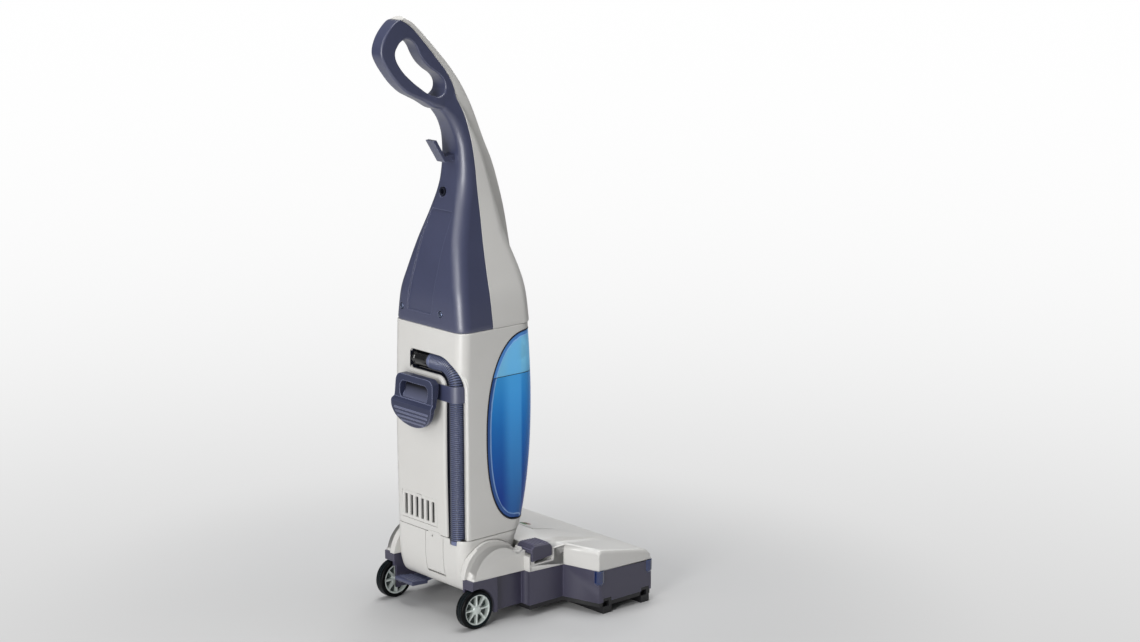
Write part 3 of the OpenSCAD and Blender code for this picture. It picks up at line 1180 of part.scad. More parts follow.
// Pedals.
side_pedal_x = 150;                  // outer end of the side pedal's skirt
side_pedal_w = 111.5;                // inner end of its pad
side_pin = [-64, 118];
side_pin_r = 2;
pedal_floor = 108;
module pedal_box(grow) {
    block([-200, -114 - grow, pedal_floor - grow], [-opening_x - 0.5 - (grow > 0 ? -grow : 0), -57 + grow, 200]);
}
module side_pedal() {
    skirt = [-side_pedal_x, -side_pedal_w - 3.2];
    color(plum) placed() difference() {
        union() {
            across(-154.5, -side_pedal_w) polygon([[-110.5, 126], [-110.5, 136], [-105, 144], [-66, 146], [-60, 141], [-60, 126]]);
            across(skirt[0], skirt[1]) polygon([[-110, 118.5], [-110, 127], [-60, 127], [-60, 113]]);
            for (i = [0:5]) translate([-152, -102 + 6.6 * i, 144 + 0.33 * i]) along_x() cylinder(r = 1.6, h = 38, $fn = 16);
        }
        translate([-160, side_pin.x, side_pin.y]) along_x() cylinder(r = side_pin_r + fit, h = 60);
    }
}
module side_pedal_pin() {
    color(silver) placed() translate([-side_pedal_x - 3.6, side_pin.x, side_pin.y]) along_x()
        cylinder(r = side_pin_r, h = side_pedal_x - side_pedal_w + 4);
}
pedal_x0 = 41;
pedal_x1 = 95;
pedal_pin_at = [0, 26, 51.5];
pedal_pin_r = 2;
module release_pedal() {
    color(slate) placed() difference() {
        union() {
            across(pedal_x0, pedal_x1) polygon([[46, 44], [46, 51], [84, 56], [87, 54], [87, 48], [84, 46]]);
            across(pedal_x0 + 8, pedal_x1 - 8) polygon([[24, 47.5], [24, 55], [48, 51.5], [48, 45]]);
            translate([pedal_x0 + 8, pedal_pin_at.y, pedal_pin_at.z]) along_x() cylinder(r = 4.4, h = pedal_x1 - pedal_x0 - 16);
            for (i = [0:3]) translate([pedal_x0 + 3, 52 + 8 * i, 51.9 + 1.05 * i]) along_x()
                cylinder(r = 1.2, h = pedal_x1 - pedal_x0 - 6, $fn = 16);
        }
        translate([0, pedal_pin_at.y, pedal_pin_at.z]) along_x() cylinder(r = pedal_pin_r + fit, h = 200);
    }
}

chassis();
top_cover();
sole_plate();
glide_strips();
corner_bumpers();
indicator_panel();
indicator_lenses();
brush_motor();
motor_pulley();
drive_belt();
brush_roller();
brush_bearings();
head_duct();
pivot_trunnions();
stub_axles();
tyre_left();
hub_left();
tyre_right();
hub_right();
side_pedal();
side_pedal_pin();
release_pedal();
hinge_pins();
pivot_bushes();
lower_housing();
main_housing();
access_door();
exhaust_grille();
exhaust_filter();
suction_motor();
fan_housing();
motor_cradle();
motor_shaft();
impeller();
lower_duct();
hose();
hose_cuff();
hose_port();
hose_socket();
hose_strap();
cord_hook();
hook_stud();
bin_seal();
bin_body();
bin_lid();
bin_tube();
bin_filter();
bin_latch();
lock_slider();
filter_knob();
handle_rear();
hand_loop();
handle_front();
handle_screws();
upper_hook();
cord_gland();
switch_frame();
rocker_green();
rocker_red();
handle_button();
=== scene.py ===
import json
from math import sin, cos, sqrt, pi, radians, hypot
import bpy
import bmesh
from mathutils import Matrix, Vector


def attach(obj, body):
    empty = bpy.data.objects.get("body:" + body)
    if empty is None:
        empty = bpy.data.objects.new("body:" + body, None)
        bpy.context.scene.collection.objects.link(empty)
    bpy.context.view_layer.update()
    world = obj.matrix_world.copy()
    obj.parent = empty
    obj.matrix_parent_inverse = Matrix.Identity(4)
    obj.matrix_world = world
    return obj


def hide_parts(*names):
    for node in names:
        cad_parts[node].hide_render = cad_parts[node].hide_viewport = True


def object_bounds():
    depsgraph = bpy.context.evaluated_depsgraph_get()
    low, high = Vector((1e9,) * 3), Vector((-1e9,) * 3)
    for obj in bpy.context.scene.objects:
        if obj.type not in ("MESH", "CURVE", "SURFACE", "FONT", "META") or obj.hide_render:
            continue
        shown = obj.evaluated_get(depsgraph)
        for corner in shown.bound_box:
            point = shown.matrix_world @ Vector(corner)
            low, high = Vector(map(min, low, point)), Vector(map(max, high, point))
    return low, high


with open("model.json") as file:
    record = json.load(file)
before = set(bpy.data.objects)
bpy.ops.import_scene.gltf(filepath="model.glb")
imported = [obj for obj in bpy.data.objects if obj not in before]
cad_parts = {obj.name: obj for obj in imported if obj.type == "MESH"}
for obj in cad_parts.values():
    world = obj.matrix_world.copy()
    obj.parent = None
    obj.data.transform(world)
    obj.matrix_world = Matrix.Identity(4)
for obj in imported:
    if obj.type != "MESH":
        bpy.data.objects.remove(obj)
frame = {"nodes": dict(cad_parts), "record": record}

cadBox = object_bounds()
scene = bpy.context.scene
cadNodes = frame["nodes"]
bodyOf = {node: body for body, names in frame["record"]["behaviour"]["bodies"].items() for node in names}
mm = 0.001
shift = Vector((41.25, 62.5, 0.0))      # from the housing's middle to the machine's bottom centre, mm


# ---------- nodes and colours ----------
def paint(code):
    parts = [int(code[i:i + 2], 16) / 255 for i in (1, 3, 5)]
    return tuple(p / 12.92 if p <= 0.04045 else ((p + 0.055) / 1.055) ** 2.4 for p in parts) + (1.0,)


def addNode(tree, kind, settings=None, inputs=None):
    node = tree.nodes.new(kind)
    for name, value in (settings or {}).items():
        setattr(node, name, value)
    for key, value in (inputs or {}).items():
        socket = node.inputs[key]
        if isinstance(value, bpy.types.NodeSocket):
            tree.links.new(value, socket)
        else:
            socket.default_value = value
    return node


def newMaterial(name):
    material = bpy.data.materials.new(name)
    material.use_nodes = True
    tree = material.node_tree
    tree.nodes.clear()
    return material, tree, addNode(tree, "ShaderNodeTexCoord").outputs["Object"]


def finishMaterial(tree, shader):
    addNode(tree, "ShaderNodeOutputMaterial", {}, {"Surface": shader})


def blendColour(tree, factor, a, b):
    return addNode(tree, "ShaderNodeMix", {"data_type": "RGBA"}, {0: factor, 6: a, 7: b}).outputs[2]


# ---------- materials ----------
# Injection-moulded plastic: a fine spark-eroded grain and a slow drift in tone as thick and thin walls cool
# differently. Every moulded edge has a small radius that rounds the shading, and a paler edge colour along it
# is a painted highlight.
def mouldedPlastic(name, look):
    material, tree, place = newMaterial(name)
    drift = addNode(tree, "ShaderNodeTexNoise", {},
        {"Vector": place, "Scale": look.get("drift", 9.0), "Detail": 3.0})
    grain = addNode(tree, "ShaderNodeTexNoise", {},
        {"Vector": place, "Scale": look.get("grain", 950.0), "Detail": 2.0})
    edge = addNode(tree, "ShaderNodeBevel", {"samples": 4}, {"Radius": look.get("round", 0.0012)})
    flat = addNode(tree, "ShaderNodeNewGeometry").outputs["Normal"]
    turn = addNode(tree, "ShaderNodeVectorMath", {"operation": "DOT_PRODUCT"},
        {0: edge.outputs["Normal"], 1: flat})
    # Painted highlight: where the rounded normal turns away from the flat one, the tone is blended towards
    # the paler edge colour.
    paintedEdgeHighlight = addNode(tree, "ShaderNodeMapRange", {}, {"Value": turn.outputs["Value"], "From Min": 0.998,
        "From Max": 0.92, "To Min": 0.0, "To Max": look.get("paintedEdgeHighlight", 0.35)})
    tone = blendColour(tree, drift.outputs[0], paint(look["deep"]), paint(look["base"]))
    tone = blendColour(tree, paintedEdgeHighlight.outputs[0], tone, paint(look["edge"]))
    # Painted shade: a stored groove attribute darkens the tone towards the groove colour.
    if "groove" in look:
        paintedShade = addNode(tree, "ShaderNodeAttribute", {"attribute_name": "groove"})
        tone = blendColour(tree, paintedShade.outputs["Fac"], tone, paint(look["groove"]))
    relief = addNode(tree, "ShaderNodeBump", {}, {"Strength": look.get("relief", 0.1), "Distance": 0.0002,
        "Height": grain.outputs[0], "Normal": edge.outputs["Normal"]})
    gloss = addNode(tree, "ShaderNodeMapRange", {},
        {"Value": drift.outputs[0], "From Min": 0.3, "From Max": 0.7,
        "To Min": look["rough"] - 0.03, "To Max": look["rough"] + 0.04})
    shader = addNode(tree, "ShaderNodeBsdfPrincipled", {},
        {"Base Color": tone, "Roughness": gloss.outputs[0],
        "Normal": relief.outputs[0], "Coat Weight": look.get("coat", 0.0),
        "Coat Roughness": look.get("coatRough", 0.2),
        "Specular IOR Level": look.get("shine", 0.5)})
    finishMaterial(tree, shader.outputs[0])
    return material


# Tinted polycarbonate: you see into it, its blue deepens towards the foot, and the moulded rim has its own
# blue and is less see-through. A thin pale line along the rim and a pale band on both sides are painted
# highlights; a weak emission in the tint is painted glow.
def tintedClear(name, look):
    material, tree, place = newMaterial(name)
    part = addNode(tree, "ShaderNodeSeparateXYZ", {}, {0: place})
    height = addNode(tree, "ShaderNodeMapRange", {},
        {"Value": part.outputs[2], "From Min": look["foot"], "From Max": look["top"]})
    ramp = addNode(tree, "ShaderNodeValToRGB", {}, {0: height.outputs[0]})
    ramp.color_ramp.interpolation = "B_SPLINE"
    stops = look["tint"]
    ramp.color_ramp.elements[0].position, ramp.color_ramp.elements[1].position = stops[0][0], stops[-1][0]
    for element, stop in zip(ramp.color_ramp.elements, (stops[0], stops[-1])):
        element.color = paint(stop[1])
    for at, code in stops[1:-1]:
        ramp.color_ramp.elements.new(at).color = paint(code)
    front = addNode(tree, "ShaderNodeMapRange", {"interpolation_type": "SMOOTHSTEP"},
        {"Value": part.outputs[1],
        "From Min": look["tealFrom"], "From Max": look["tealTo"], "To Min": 0.0, "To Max": look["teal"]})
    tone = blendColour(tree, front.outputs[0], ramp.outputs[0], paint(look["tealTone"]))
    eased = {"interpolation_type": "SMOOTHSTEP"}
    # Painted highlight: a pale band on both sides at a fixed place front to back, fainter towards the foot.
    bandUp = addNode(tree, "ShaderNodeMapRange", eased,
        {"Value": part.outputs[1], "From Min": 0.040, "From Max": 0.012})
    bandDown = addNode(tree, "ShaderNodeMapRange", eased,
        {"Value": part.outputs[1], "From Min": -0.016, "From Max": -0.010})
    band = addNode(tree, "ShaderNodeMath", {"operation": "MULTIPLY"},
        {0: bandUp.outputs[0], 1: bandDown.outputs[0]})
    bandFade = addNode(tree, "ShaderNodeMapRange", {},
        {"Value": height.outputs[0], "From Min": 0.0, "From Max": 0.7,
        "To Min": look["band"] * 0.3, "To Max": look["band"]})
    bandShare = addNode(tree, "ShaderNodeMath", {"operation": "MULTIPLY"},
        {0: band.outputs[0], 1: bandFade.outputs[0]})
    tone = blendColour(tree, bandShare.outputs[0], tone, paint(look["bandTone"]))
    rim = addNode(tree, "ShaderNodeAttribute", {"attribute_name": "rim"})
    tone = blendColour(tree, rim.outputs["Fac"], tone, paint(look["rim"]))
    # Painted highlight: a thin pale line along the middle of the rim.
    side = addNode(tree, "ShaderNodeMath", {"operation": "PINGPONG"}, {0: rim.outputs["Fac"], 1: 0.5})
    line = addNode(tree, "ShaderNodeMath", {"operation": "MULTIPLY"}, {0: side.outputs[0], 1: 1.6})
    tone = blendColour(tree, line.outputs[0], tone, paint(look["paintedRimHighlight"]))
    pale = blendColour(tree, look["clear"], tone, (1.0, 1.0, 1.0, 1.0))
    swirl = addNode(tree, "ShaderNodeTexNoise", {}, {"Vector": place, "Scale": 14.0, "Detail": 1.0})
    relief = addNode(tree, "ShaderNodeBump", {},
        {"Strength": 0.04, "Distance": 0.002, "Height": swirl.outputs[0]})
    # The film's weak emission in its own tone is painted glow.
    film = addNode(tree, "ShaderNodeBsdfPrincipled", {},
        {"Base Color": tone, "Roughness": look["rough"], "Specular IOR Level": 0.3,
        "Coat Weight": 0.3, "Coat Roughness": 0.05, "Normal": relief.outputs[0], "Emission Color": tone,
        "Emission Strength": look["paintedGlow"]})
    seen = addNode(tree, "ShaderNodeBsdfTransparent", {}, {0: pale})
    share = addNode(tree, "ShaderNodeMapRange", {},
        {"Value": rim.outputs["Fac"], "To Min": look["body"], "To Max": look["rimBody"]})
    mixed = addNode(tree, "ShaderNodeMixShader", {},
        {0: share.outputs[0], 1: seen.outputs[0], 2: film.outputs[0]})
    finishMaterial(tree, mixed.outputs[0])
    return material


# Metal: turned or plated, with brushed streaks along one direction.
def metal(name, look):
    material, tree, place = newMaterial(name)
    stretched = addNode(tree, "ShaderNodeMapping", {},
        {"Vector": place, "Scale": look.get("streak", (30, 30, 30))})
    streak = addNode(tree, "ShaderNodeTexNoise", {},
        {"Vector": stretched.outputs[0], "Scale": 20.0, "Detail": 4.0})
    tone = blendColour(tree, streak.outputs[0], paint(look["deep"]), paint(look["base"]))
    gloss = addNode(tree, "ShaderNodeMapRange", {},
        {"Value": streak.outputs[0], "To Min": look["rough"] - 0.08,
        "To Max": look["rough"] + 0.1})
    relief = addNode(tree, "ShaderNodeBump", {},
        {"Strength": look.get("relief", 0.08), "Distance": 0.0002, "Height": streak.outputs[0]})
    shader = addNode(tree, "ShaderNodeBsdfPrincipled", {},
        {"Base Color": tone, "Roughness": gloss.outputs[0],
        "Metallic": look.get("metal", 1.0), "Normal": relief.outputs[0]})
    finishMaterial(tree, shader.outputs[0])
    return material


shellGrey = mouldedPlastic("warm_grey_ABS_fine_grain",
    {"base": "#D6D5D2", "deep": "#CFCDC9", "edge": "#F2F1EE",
    "rough": 0.36, "coat": 0.25, "coatRough": 0.22, "relief": 0.05, "round": 0.0014, "paintedEdgeHighlight": 0.5})
shellSoft = mouldedPlastic("warm_grey_ABS_soft_edges",
    {"base": "#D6D5D2", "deep": "#CFCDC9", "edge": "#F4F3F1",
    "rough": 0.34, "coat": 0.25, "coatRough": 0.22, "relief": 0.05, "round": 0.003, "paintedEdgeHighlight": 0.5})
# Painted shade: dark slate for the inside of the hose's channel and the cord hole, where shade falls.
paintedRecessShade = mouldedPlastic("slate_painted_recess_shade",
    {"base": "#1E2130", "deep": "#181A26", "edge": "#2C3044",
    "rough": 0.5, "shine": 0.25, "relief": 0.05, "paintedEdgeHighlight": 0.1})
# Painted shade: the scoop behind the grip darkens towards its top through the groove attribute.
scoopShade = mouldedPlastic("slate_scoop_behind_grip",
    {"base": "#6A6E86", "deep": "#62667E", "edge": "#6A6E86",
    "rough": 0.5, "shine": 0.3, "relief": 0.05, "paintedEdgeHighlight": 0.1, "groove": "#0C0D15"})
slateEdge = mouldedPlastic("slate_blue_ABS_crisp_edges",
    {"base": "#30354F", "deep": "#2A2F47", "edge": "#8E94B4",
    "rough": 0.42, "coat": 0.2, "coatRough": 0.36, "shine": 0.45, "relief": 0.05, "round": 0.0022,
    "paintedEdgeHighlight": 0.9})
slateAbs = mouldedPlastic("slate_blue_ABS_satin", {"base": "#3C4160", "deep": "#343955", "edge": "#8C92B2",
    "rough": 0.42, "coat": 0.9, "coatRough": 0.36, "shine": 0.9, "relief": 0.05, "round": 0.0014,
    "paintedEdgeHighlight": 0.6})
plumPp = mouldedPlastic("plum_grey_polypropylene", {"base": "#454356", "deep": "#3A384A", "edge": "#8583A0",
    "rough": 0.4, "coat": 0.2, "coatRough": 0.28, "relief": 0.12, "round": 0.0016, "paintedEdgeHighlight": 0.5})
blackNylon = mouldedPlastic("black_glass_filled_nylon",
    {"base": "#1D1D20", "deep": "#161618", "edge": "#3C3C42",
    "rough": 0.45, "relief": 0.14, "paintedEdgeHighlight": 0.3})
blackGloss = mouldedPlastic("black_gloss_cuff_nylon",
    {"base": "#121214", "deep": "#0C0C0E", "edge": "#3C3C42",
    "rough": 0.24, "coat": 0.6, "coatRough": 0.12, "relief": 0.0, "paintedEdgeHighlight": 0.3})
blackGasket = mouldedPlastic("black_gasket_rubber", {"base": "#141417", "deep": "#0E0E10", "edge": "#2A2A30",
    "rough": 0.55, "relief": 0.1, "paintedEdgeHighlight": 0.2, "round": 0.0006})
navyBumper = mouldedPlastic("navy_gloss_TPU_bumper",
    {"base": "#142A5E", "deep": "#0E1F48", "edge": "#5A88D8",
    "rough": 0.12, "coat": 1.0, "coatRough": 0.05, "relief": 0.0, "paintedEdgeHighlight": 0.4})
tyreRubber = mouldedPlastic("tyre_rubber_dark_sheen",
    {"base": "#060708", "deep": "#040405", "edge": "#2A444E",
    "rough": 0.36, "coat": 0.0, "coatRough": 0.3, "shine": 0.14, "relief": 0.2, "grain": 700.0,
    "paintedEdgeHighlight": 0.35, "round": 0.0018})
# The groove colour is painted shade, between the ribs and on the flanks.
hoseVinyl = mouldedPlastic("hose_vinyl_slate", {"base": "#6E7698", "deep": "#626A8A", "edge": "#7C84A4",
    "rough": 0.3, "coat": 0.4, "coatRough": 0.18, "relief": 0.05, "paintedEdgeHighlight": 0.2, "round": 0.0003,
    "groove": "#10121E"})
yellowGloss = mouldedPlastic("yellow_gloss_button_ABS",
    {"base": "#E4CF24", "deep": "#D2BC18", "edge": "#F7EE9A",
    "rough": 0.25, "coat": 0.5, "relief": 0.02})
greenGloss = mouldedPlastic("green_rocker_polycarbonate",
    {"base": "#0F7A55", "deep": "#0A5D40", "edge": "#4CC79A",
    "rough": 0.2, "coat": 0.6, "relief": 0.02})
redGloss = mouldedPlastic("red_rocker_polycarbonate",
    {"base": "#9A161C", "deep": "#760E12", "edge": "#E0585C",
    "rough": 0.2, "coat": 0.6, "relief": 0.02})
tealAbs = mouldedPlastic("teal_slider_ABS",
    {"base": "#1E6E78", "deep": "#16555E", "edge": "#66B4BE", "rough": 0.3, "relief": 0.05})
lensGreen = mouldedPlastic("green_lens_acrylic",
    {"base": "#1E8A35", "deep": "#156A27", "edge": "#7ADE8C", "rough": 0.12, "coat": 0.8, "relief": 0.0})
lensRed = mouldedPlastic("red_lens_acrylic",
    {"base": "#9A1818", "deep": "#701010", "edge": "#E46A6A", "rough": 0.12, "coat": 0.8, "relief": 0.0})
hubPaint = metal("silver_painted_nylon_hub",
    {"base": "#E6ECE8", "deep": "#CDD6D2", "rough": 0.3, "metal": 0.45, "relief": 0.03})
# Painted shade: the disc behind the spokes is dark silver so that the gaps between them read shaded.
hubShade = metal("hub_recess_painted_shade",
    {"base": "#4A5250", "deep": "#363D3C", "rough": 0.5, "metal": 0.4, "relief": 0.03})
zincSteel = metal("zinc_plated_steel",
    {"base": "#C8C9CA", "deep": "#A2A4A8", "rough": 0.3, "streak": (6, 60, 60)})
bluedSteel = metal("blued_steel_screw",
    {"base": "#7C86A0", "deep": "#565E78", "rough": 0.3, "metal": 0.8, "relief": 0.02})
castAlloy = metal("cast_aluminium_motor",
    {"base": "#A9ACAE", "deep": "#8C9092", "rough": 0.45, "relief": 0.2})
filterFelt = mouldedPlastic("blue_pleated_filter_felt",
    {"base": "#3A93C4", "deep": "#2A78A8", "edge": "#7CC0E4", "rough": 0.8, "relief": 0.5, "grain": 500.0,
    "paintedEdgeHighlight": 0.2})
ductBlue = mouldedPlastic("blue_duct_polycarbonate",
    {"base": "#2E86B8", "deep": "#226A98", "edge": "#7CC4E8", "rough": 0.25, "relief": 0.03})
bristle = mouldedPlastic("dark_nylon_bristle",
    {"base": "#26303F", "deep": "#161D28", "edge": "#48566C", "rough": 0.6, "relief": 0.8, "grain": 600.0,
    "paintedEdgeHighlight": 0.3})
clearLook = {"foot": 0.19, "top": 0.57, "rough": 0.1, "body": 0.6, "rimBody": 0.85, "clear": 0.04,
    "paintedGlow": 0.14, "band": 0.6, "bandTone": "#64CCFF",
    "tint": [(0.0, "#06389C"), (0.2, "#0848A8"), (0.5, "#1280D4"), (0.72, "#34A6EA"), (1.0, "#64C4EC")],
    "tealFrom": -0.01, "tealTo": -0.075, "teal": 0.75, "tealTone": "#2A9CD0", "rim": "#244E90",
    "paintedRimHighlight": "#A8D0F8"}
clearBody = tintedClear("blue_tint_polycarbonate_bin", clearLook)
clearLid = tintedClear("blue_tint_polycarbonate_lid",
    dict(clearLook, body=0.62, band=0.3, paintedGlow=0.2, clear=0.2,
    tint=[(0.0, "#3C9CD4"), (0.6, "#6CC0E4"), (1.0, "#98D8F0")], rim="#4C86C8"))
print("materials ready")


# ---------- curves and sections, in millimetres of the housing's own frame ----------
def spline(points, t, closed=False):
    n = len(points)
    i = min(int(t), (n if closed else n - 1) - 1)
    f = t - i
    at = (lambda k: points[k % n]) if closed else (lambda k: points[max(0, min(k, n - 1))])
    return [b + 0.5 * f * ((c - a) + f * ((2 * a - 5 * b + 4 * c - d) + f * (3 * (b - c) + d - a)))
            for a, b, c, d in zip(at(i - 1), at(i), at(i + 1), at(i + 2))]


def sampled(points, steps, closed=False):
    span = len(points) if closed else len(points) - 1
    return [spline(points, i * span / steps, closed) for i in range(steps + (0 if closed else 1))]


def arc(cx, cy, r, a0, a1, n):
    return [(cx + r * cos(radians(a0 + (a1 - a0) * i / n)), cy + r * sin(radians(a0 + (a1 - a0) * i / n)))
        for i in range(n + 1)]


def lookup(table, z):
    if z <= table[0][0]:
        return table[0][1]
    for (a, ya), (b, yb) in zip(table, table[1:]):
        if z <= b:
            return ya + (yb - ya) * (z - a) / (b - a)
    return table[-1][1]


def chaikin(points, rounds=2):
    for turn in range(rounds):
        cutDown = [points[0]]
        for a, b in zip(points, points[1:]):
            cutDown += [tuple(u * 0.75 + v * 0.25 for u, v in zip(a, b)),
                tuple(u * 0.25 + v * 0.75 for u, v in zip(a, b))]
        points = cutDown + [points[-1]]
    return points


# ---------- pieces ----------
def settle(piece):
    fresh = bpy.data.meshes.new_from_object(piece.evaluated_get(bpy.context.evaluated_depsgraph_get()))
    piece.modifiers.clear()
    old = piece.data
    piece.data = fresh
    bpy.data.meshes.remove(old)
    return piece


# A point in the housing's millimetres, in the metres of the shared frame.
def inFrame(p):
    return ((p[0] + shift.x) * mm, (p[1] + shift.y) * mm, p[2] * mm)


def rawPiece(name, points, faces):
    mesh = bpy.data.meshes.new(name)
    mesh.from_pydata([inFrame(p) for p in points], [], faces)
    mesh.validate()
    work = bmesh.new()
    work.from_mesh(mesh)
    bmesh.ops.recalc_face_normals(work, faces=work.faces)
    work.to_mesh(mesh)
    work.free()
    piece = bpy.data.objects.new(name, mesh)
    scene.collection.objects.link(piece)
    return piece


# Closed skin over equal rings. A closed run of rings has no end caps.
def skin(name, rings, closed=False):
    n, m = len(rings[0]), len(rings)
    faces = []
    for j in range(m if closed else m - 1):
        a, b = j * n, ((j + 1) % m) * n
        faces += [(a + i, b + i, b + (i + 1) % n, a + (i + 1) % n) for i in range(n)]
    if not closed:
        faces += [tuple(range(n)), tuple(reversed(range((m - 1) * n, m * n)))]
    return rawPiece(name, [p for ring in rings for p in ring], faces)


# A profile in (y, z), drawn out across x.
def across(x0, x1, profile):
    return skin("across", [[(x, y, z) for y, z in profile] for x in (x0, x1)])


def block(a, b):
    return across(a[0], b[0], [(a[1], a[2]), (b[1], a[2]), (b[1], b[2]), (a[1], b[2])])


# A rod between two points.
def rod(a, b, r, n=40):
    a, b = Vector(a), Vector(b)
    u = (b - a).normalized()
    v = u.orthogonal().normalized()
    w = u.cross(v)
    return skin("rod", [[tuple(c + r * (cos(2 * pi * i / n) * v + sin(2 * pi * i / n) * w))
        for i in range(n)] for c in (a, b)])


# A profile of (distance along the axle, radius) pairs turned about an axle along x.
def turned(name, centre, profile, n=96, flip=1):
    rings = [[(centre[0] + flip * d, centre[1] + r * cos(2 * pi * i / n),
        centre[2] + r * sin(2 * pi * i / n)) for i in range(n)]
             for d, r in profile]
    return skin(name, rings)


def cut(piece, *tools, mode="DIFFERENCE"):
    for tool in tools:
        change = piece.modifiers.new("cut", "BOOLEAN")
        change.operation, change.solver, change.object = mode, "EXACT", tool
        settle(piece)
        bpy.data.objects.remove(tool)
    return piece


def rounded(piece, width, segments=3):
    change = piece.modifiers.new("round", "BEVEL")
    change.width, change.segments = width * mm, segments
    change.limit_method, change.angle_limit = "ANGLE", radians(35)
    return settle(piece)


def smooth(piece, angle=35.0):
    mesh = piece.data
    mesh.polygons.foreach_set("use_smooth", [True] * len(mesh.polygons))
    mesh.set_sharp_from_angle(angle=radians(angle))
    mesh.update()
    return piece


def finishPiece(piece, name, material, nodes, angle=35.0, weighted=True):
    piece.name = piece.data.name = name
    low, high = cadBox
    for v in piece.data.vertices:
        v.co = [min(max(c, a), b) for c, a, b in zip(v.co, low, high)]
    if material:
        piece.data.materials.clear()
        piece.data.materials.append(material)
    smooth(piece, angle)
    if weighted:
        change = piece.modifiers.new("weigh", "WEIGHTED_NORMAL")
        change.keep_sharp = True
        settle(piece)
    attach(piece, bodyOf[nodes[0]])
    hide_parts(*nodes)
    return piece


# A rounded copy of a CAD node: flat areas joined, edges broken, shading weighted by area.
def smoothCopy(node, material, bevel=0.0, angle=35.0, segments=2, flatten=True):
    mesh = cadNodes[node].data.copy()
    work = bmesh.new()
    work.from_mesh(mesh)
    bmesh.ops.remove_doubles(work, verts=work.verts, dist=2e-5)
    if flatten:
        bmesh.ops.dissolve_limit(work, angle_limit=radians(0.6), verts=work.verts, edges=work.edges)
    bmesh.ops.recalc_face_normals(work, faces=work.faces)
    work.to_mesh(mesh)
    work.free()
    piece = bpy.data.objects.new(node, mesh)
    scene.collection.objects.link(piece)
    if bevel:
        change = piece.modifiers.new("round", "BEVEL")
        change.width, change.segments = bevel * mm, segments
        change.limit_method, change.angle_limit = "ANGLE", radians(38)
        settle(piece)
    return finishPiece(piece, node + "_moulded", material, [node], angle)


def merged(name, parts):
    work = bmesh.new()
    materials = []
    for part, material in parts:
        if material not in materials:
            materials.append(material)
        before = len(work.faces)
        work.from_mesh(part.data)
        work.faces.ensure_lookup_table()
        for face in work.faces[before:]:
            face.material_index = materials.index(material)
        bpy.data.objects.remove(part)
    mesh = bpy.data.meshes.new(name)
    work.to_mesh(mesh)
    work.free()
    for material in materials:
        mesh.materials.append(material)
    piece = bpy.data.objects.new(name, mesh)
    scene.collection.objects.link(piece)
    return piece


# ---------- geometry node trees for repeated things ----------
def newTree(name, sockets):
    tree = bpy.data.node_groups.new(name, "GeometryNodeTree")
    tree.interface.new_socket("Geometry", in_out="INPUT", socket_type="NodeSocketGeometry")
    for label, kind in sockets:
        tree.interface.new_socket(label, in_out="INPUT", socket_type=kind)
    tree.interface.new_socket("Geometry", in_out="OUTPUT", socket_type="NodeSocketGeometry")
    return tree, addNode(tree, "NodeGroupInput").outputs


def endTree(tree, geometry, material):
    real = addNode(tree, "GeometryNodeRealizeInstances", {}, {0: geometry})
    coated = addNode(tree, "GeometryNodeSetMaterial", {},
        {"Geometry": real.outputs[0], "Material": material})
    addNode(tree, "NodeGroupOutput", {}, {0: coated.outputs[0]})
    return tree


def applyTree(piece, tree, values):
    change = piece.modifiers.new(tree.name, "NODES")
    change.node_group = tree
    for item in tree.interface.items_tree:
        if item.in_out == "INPUT" and item.name in values:
            change[item.identifier] = values[item.name]
    return settle(piece)


# Copies turned about an axle along x through the origin, then moved to their place.
turnedTree, given = newTree("turnedCopies",
    [("Count", "NodeSocketInt"), ("Place", "NodeSocketVector"), ("Material", "NodeSocketMaterial")])
spots = addNode(turnedTree, "GeometryNodeMeshLine", {}, {"Count": given["Count"], "Offset": (0, 0, 0)})
order = addNode(turnedTree, "GeometryNodeInputIndex")
share = addNode(turnedTree, "ShaderNodeMath", {"operation": "DIVIDE"},
    {0: order.outputs[0], 1: given["Count"]})
angle = addNode(turnedTree, "ShaderNodeMath", {"operation": "MULTIPLY"}, {0: share.outputs[0], 1: 2 * pi})
spin = addNode(turnedTree, "ShaderNodeCombineXYZ", {}, {0: angle.outputs[0]})
copies = addNode(turnedTree, "GeometryNodeInstanceOnPoints", {},
    {"Points": spots.outputs[0], "Instance": given["Geometry"],
    "Rotation": spin.outputs[0]})
moved = addNode(turnedTree, "GeometryNodeTransform", {},
    {"Geometry": copies.outputs[0], "Translation": given["Place"]})
endTree(turnedTree, moved.outputs[0], given["Material"])

# A ribbed tube along a line: the skin dips between ribs, and both ends stay smooth.
tubeTree, given = newTree("ribbedTube",
    [("Radius", "NodeSocketFloat"), ("Pitch", "NodeSocketFloat"), ("Depth", "NodeSocketFloat"),
    ("From", "NodeSocketFloat"), ("To", "NodeSocketFloat"), ("Step", "NodeSocketFloat"),
    ("Material", "NodeSocketMaterial")])
line = addNode(tubeTree, "GeometryNodeMeshToCurve", {}, {0: given["Geometry"]})
even = addNode(tubeTree, "GeometryNodeResampleCurve", {"mode": "LENGTH"},
    {"Curve": line.outputs[0], "Length": given["Step"]})
along = addNode(tubeTree, "GeometryNodeSplineParameter")
kept = tubeTree.nodes.new("GeometryNodeCaptureAttribute")
kept.capture_items.new("FLOAT", "Along")
tubeTree.links.new(even.outputs[0], kept.inputs[0])
tubeTree.links.new(along.outputs["Length"], kept.inputs[1])
circle = addNode(tubeTree, "GeometryNodeCurvePrimitiveCircle", {},
    {"Resolution": 28, "Radius": given["Radius"]})
tube = addNode(tubeTree, "GeometryNodeCurveToMesh", {},
    {"Curve": kept.outputs[0], "Profile Curve": circle.outputs[0], "Fill Caps": True})
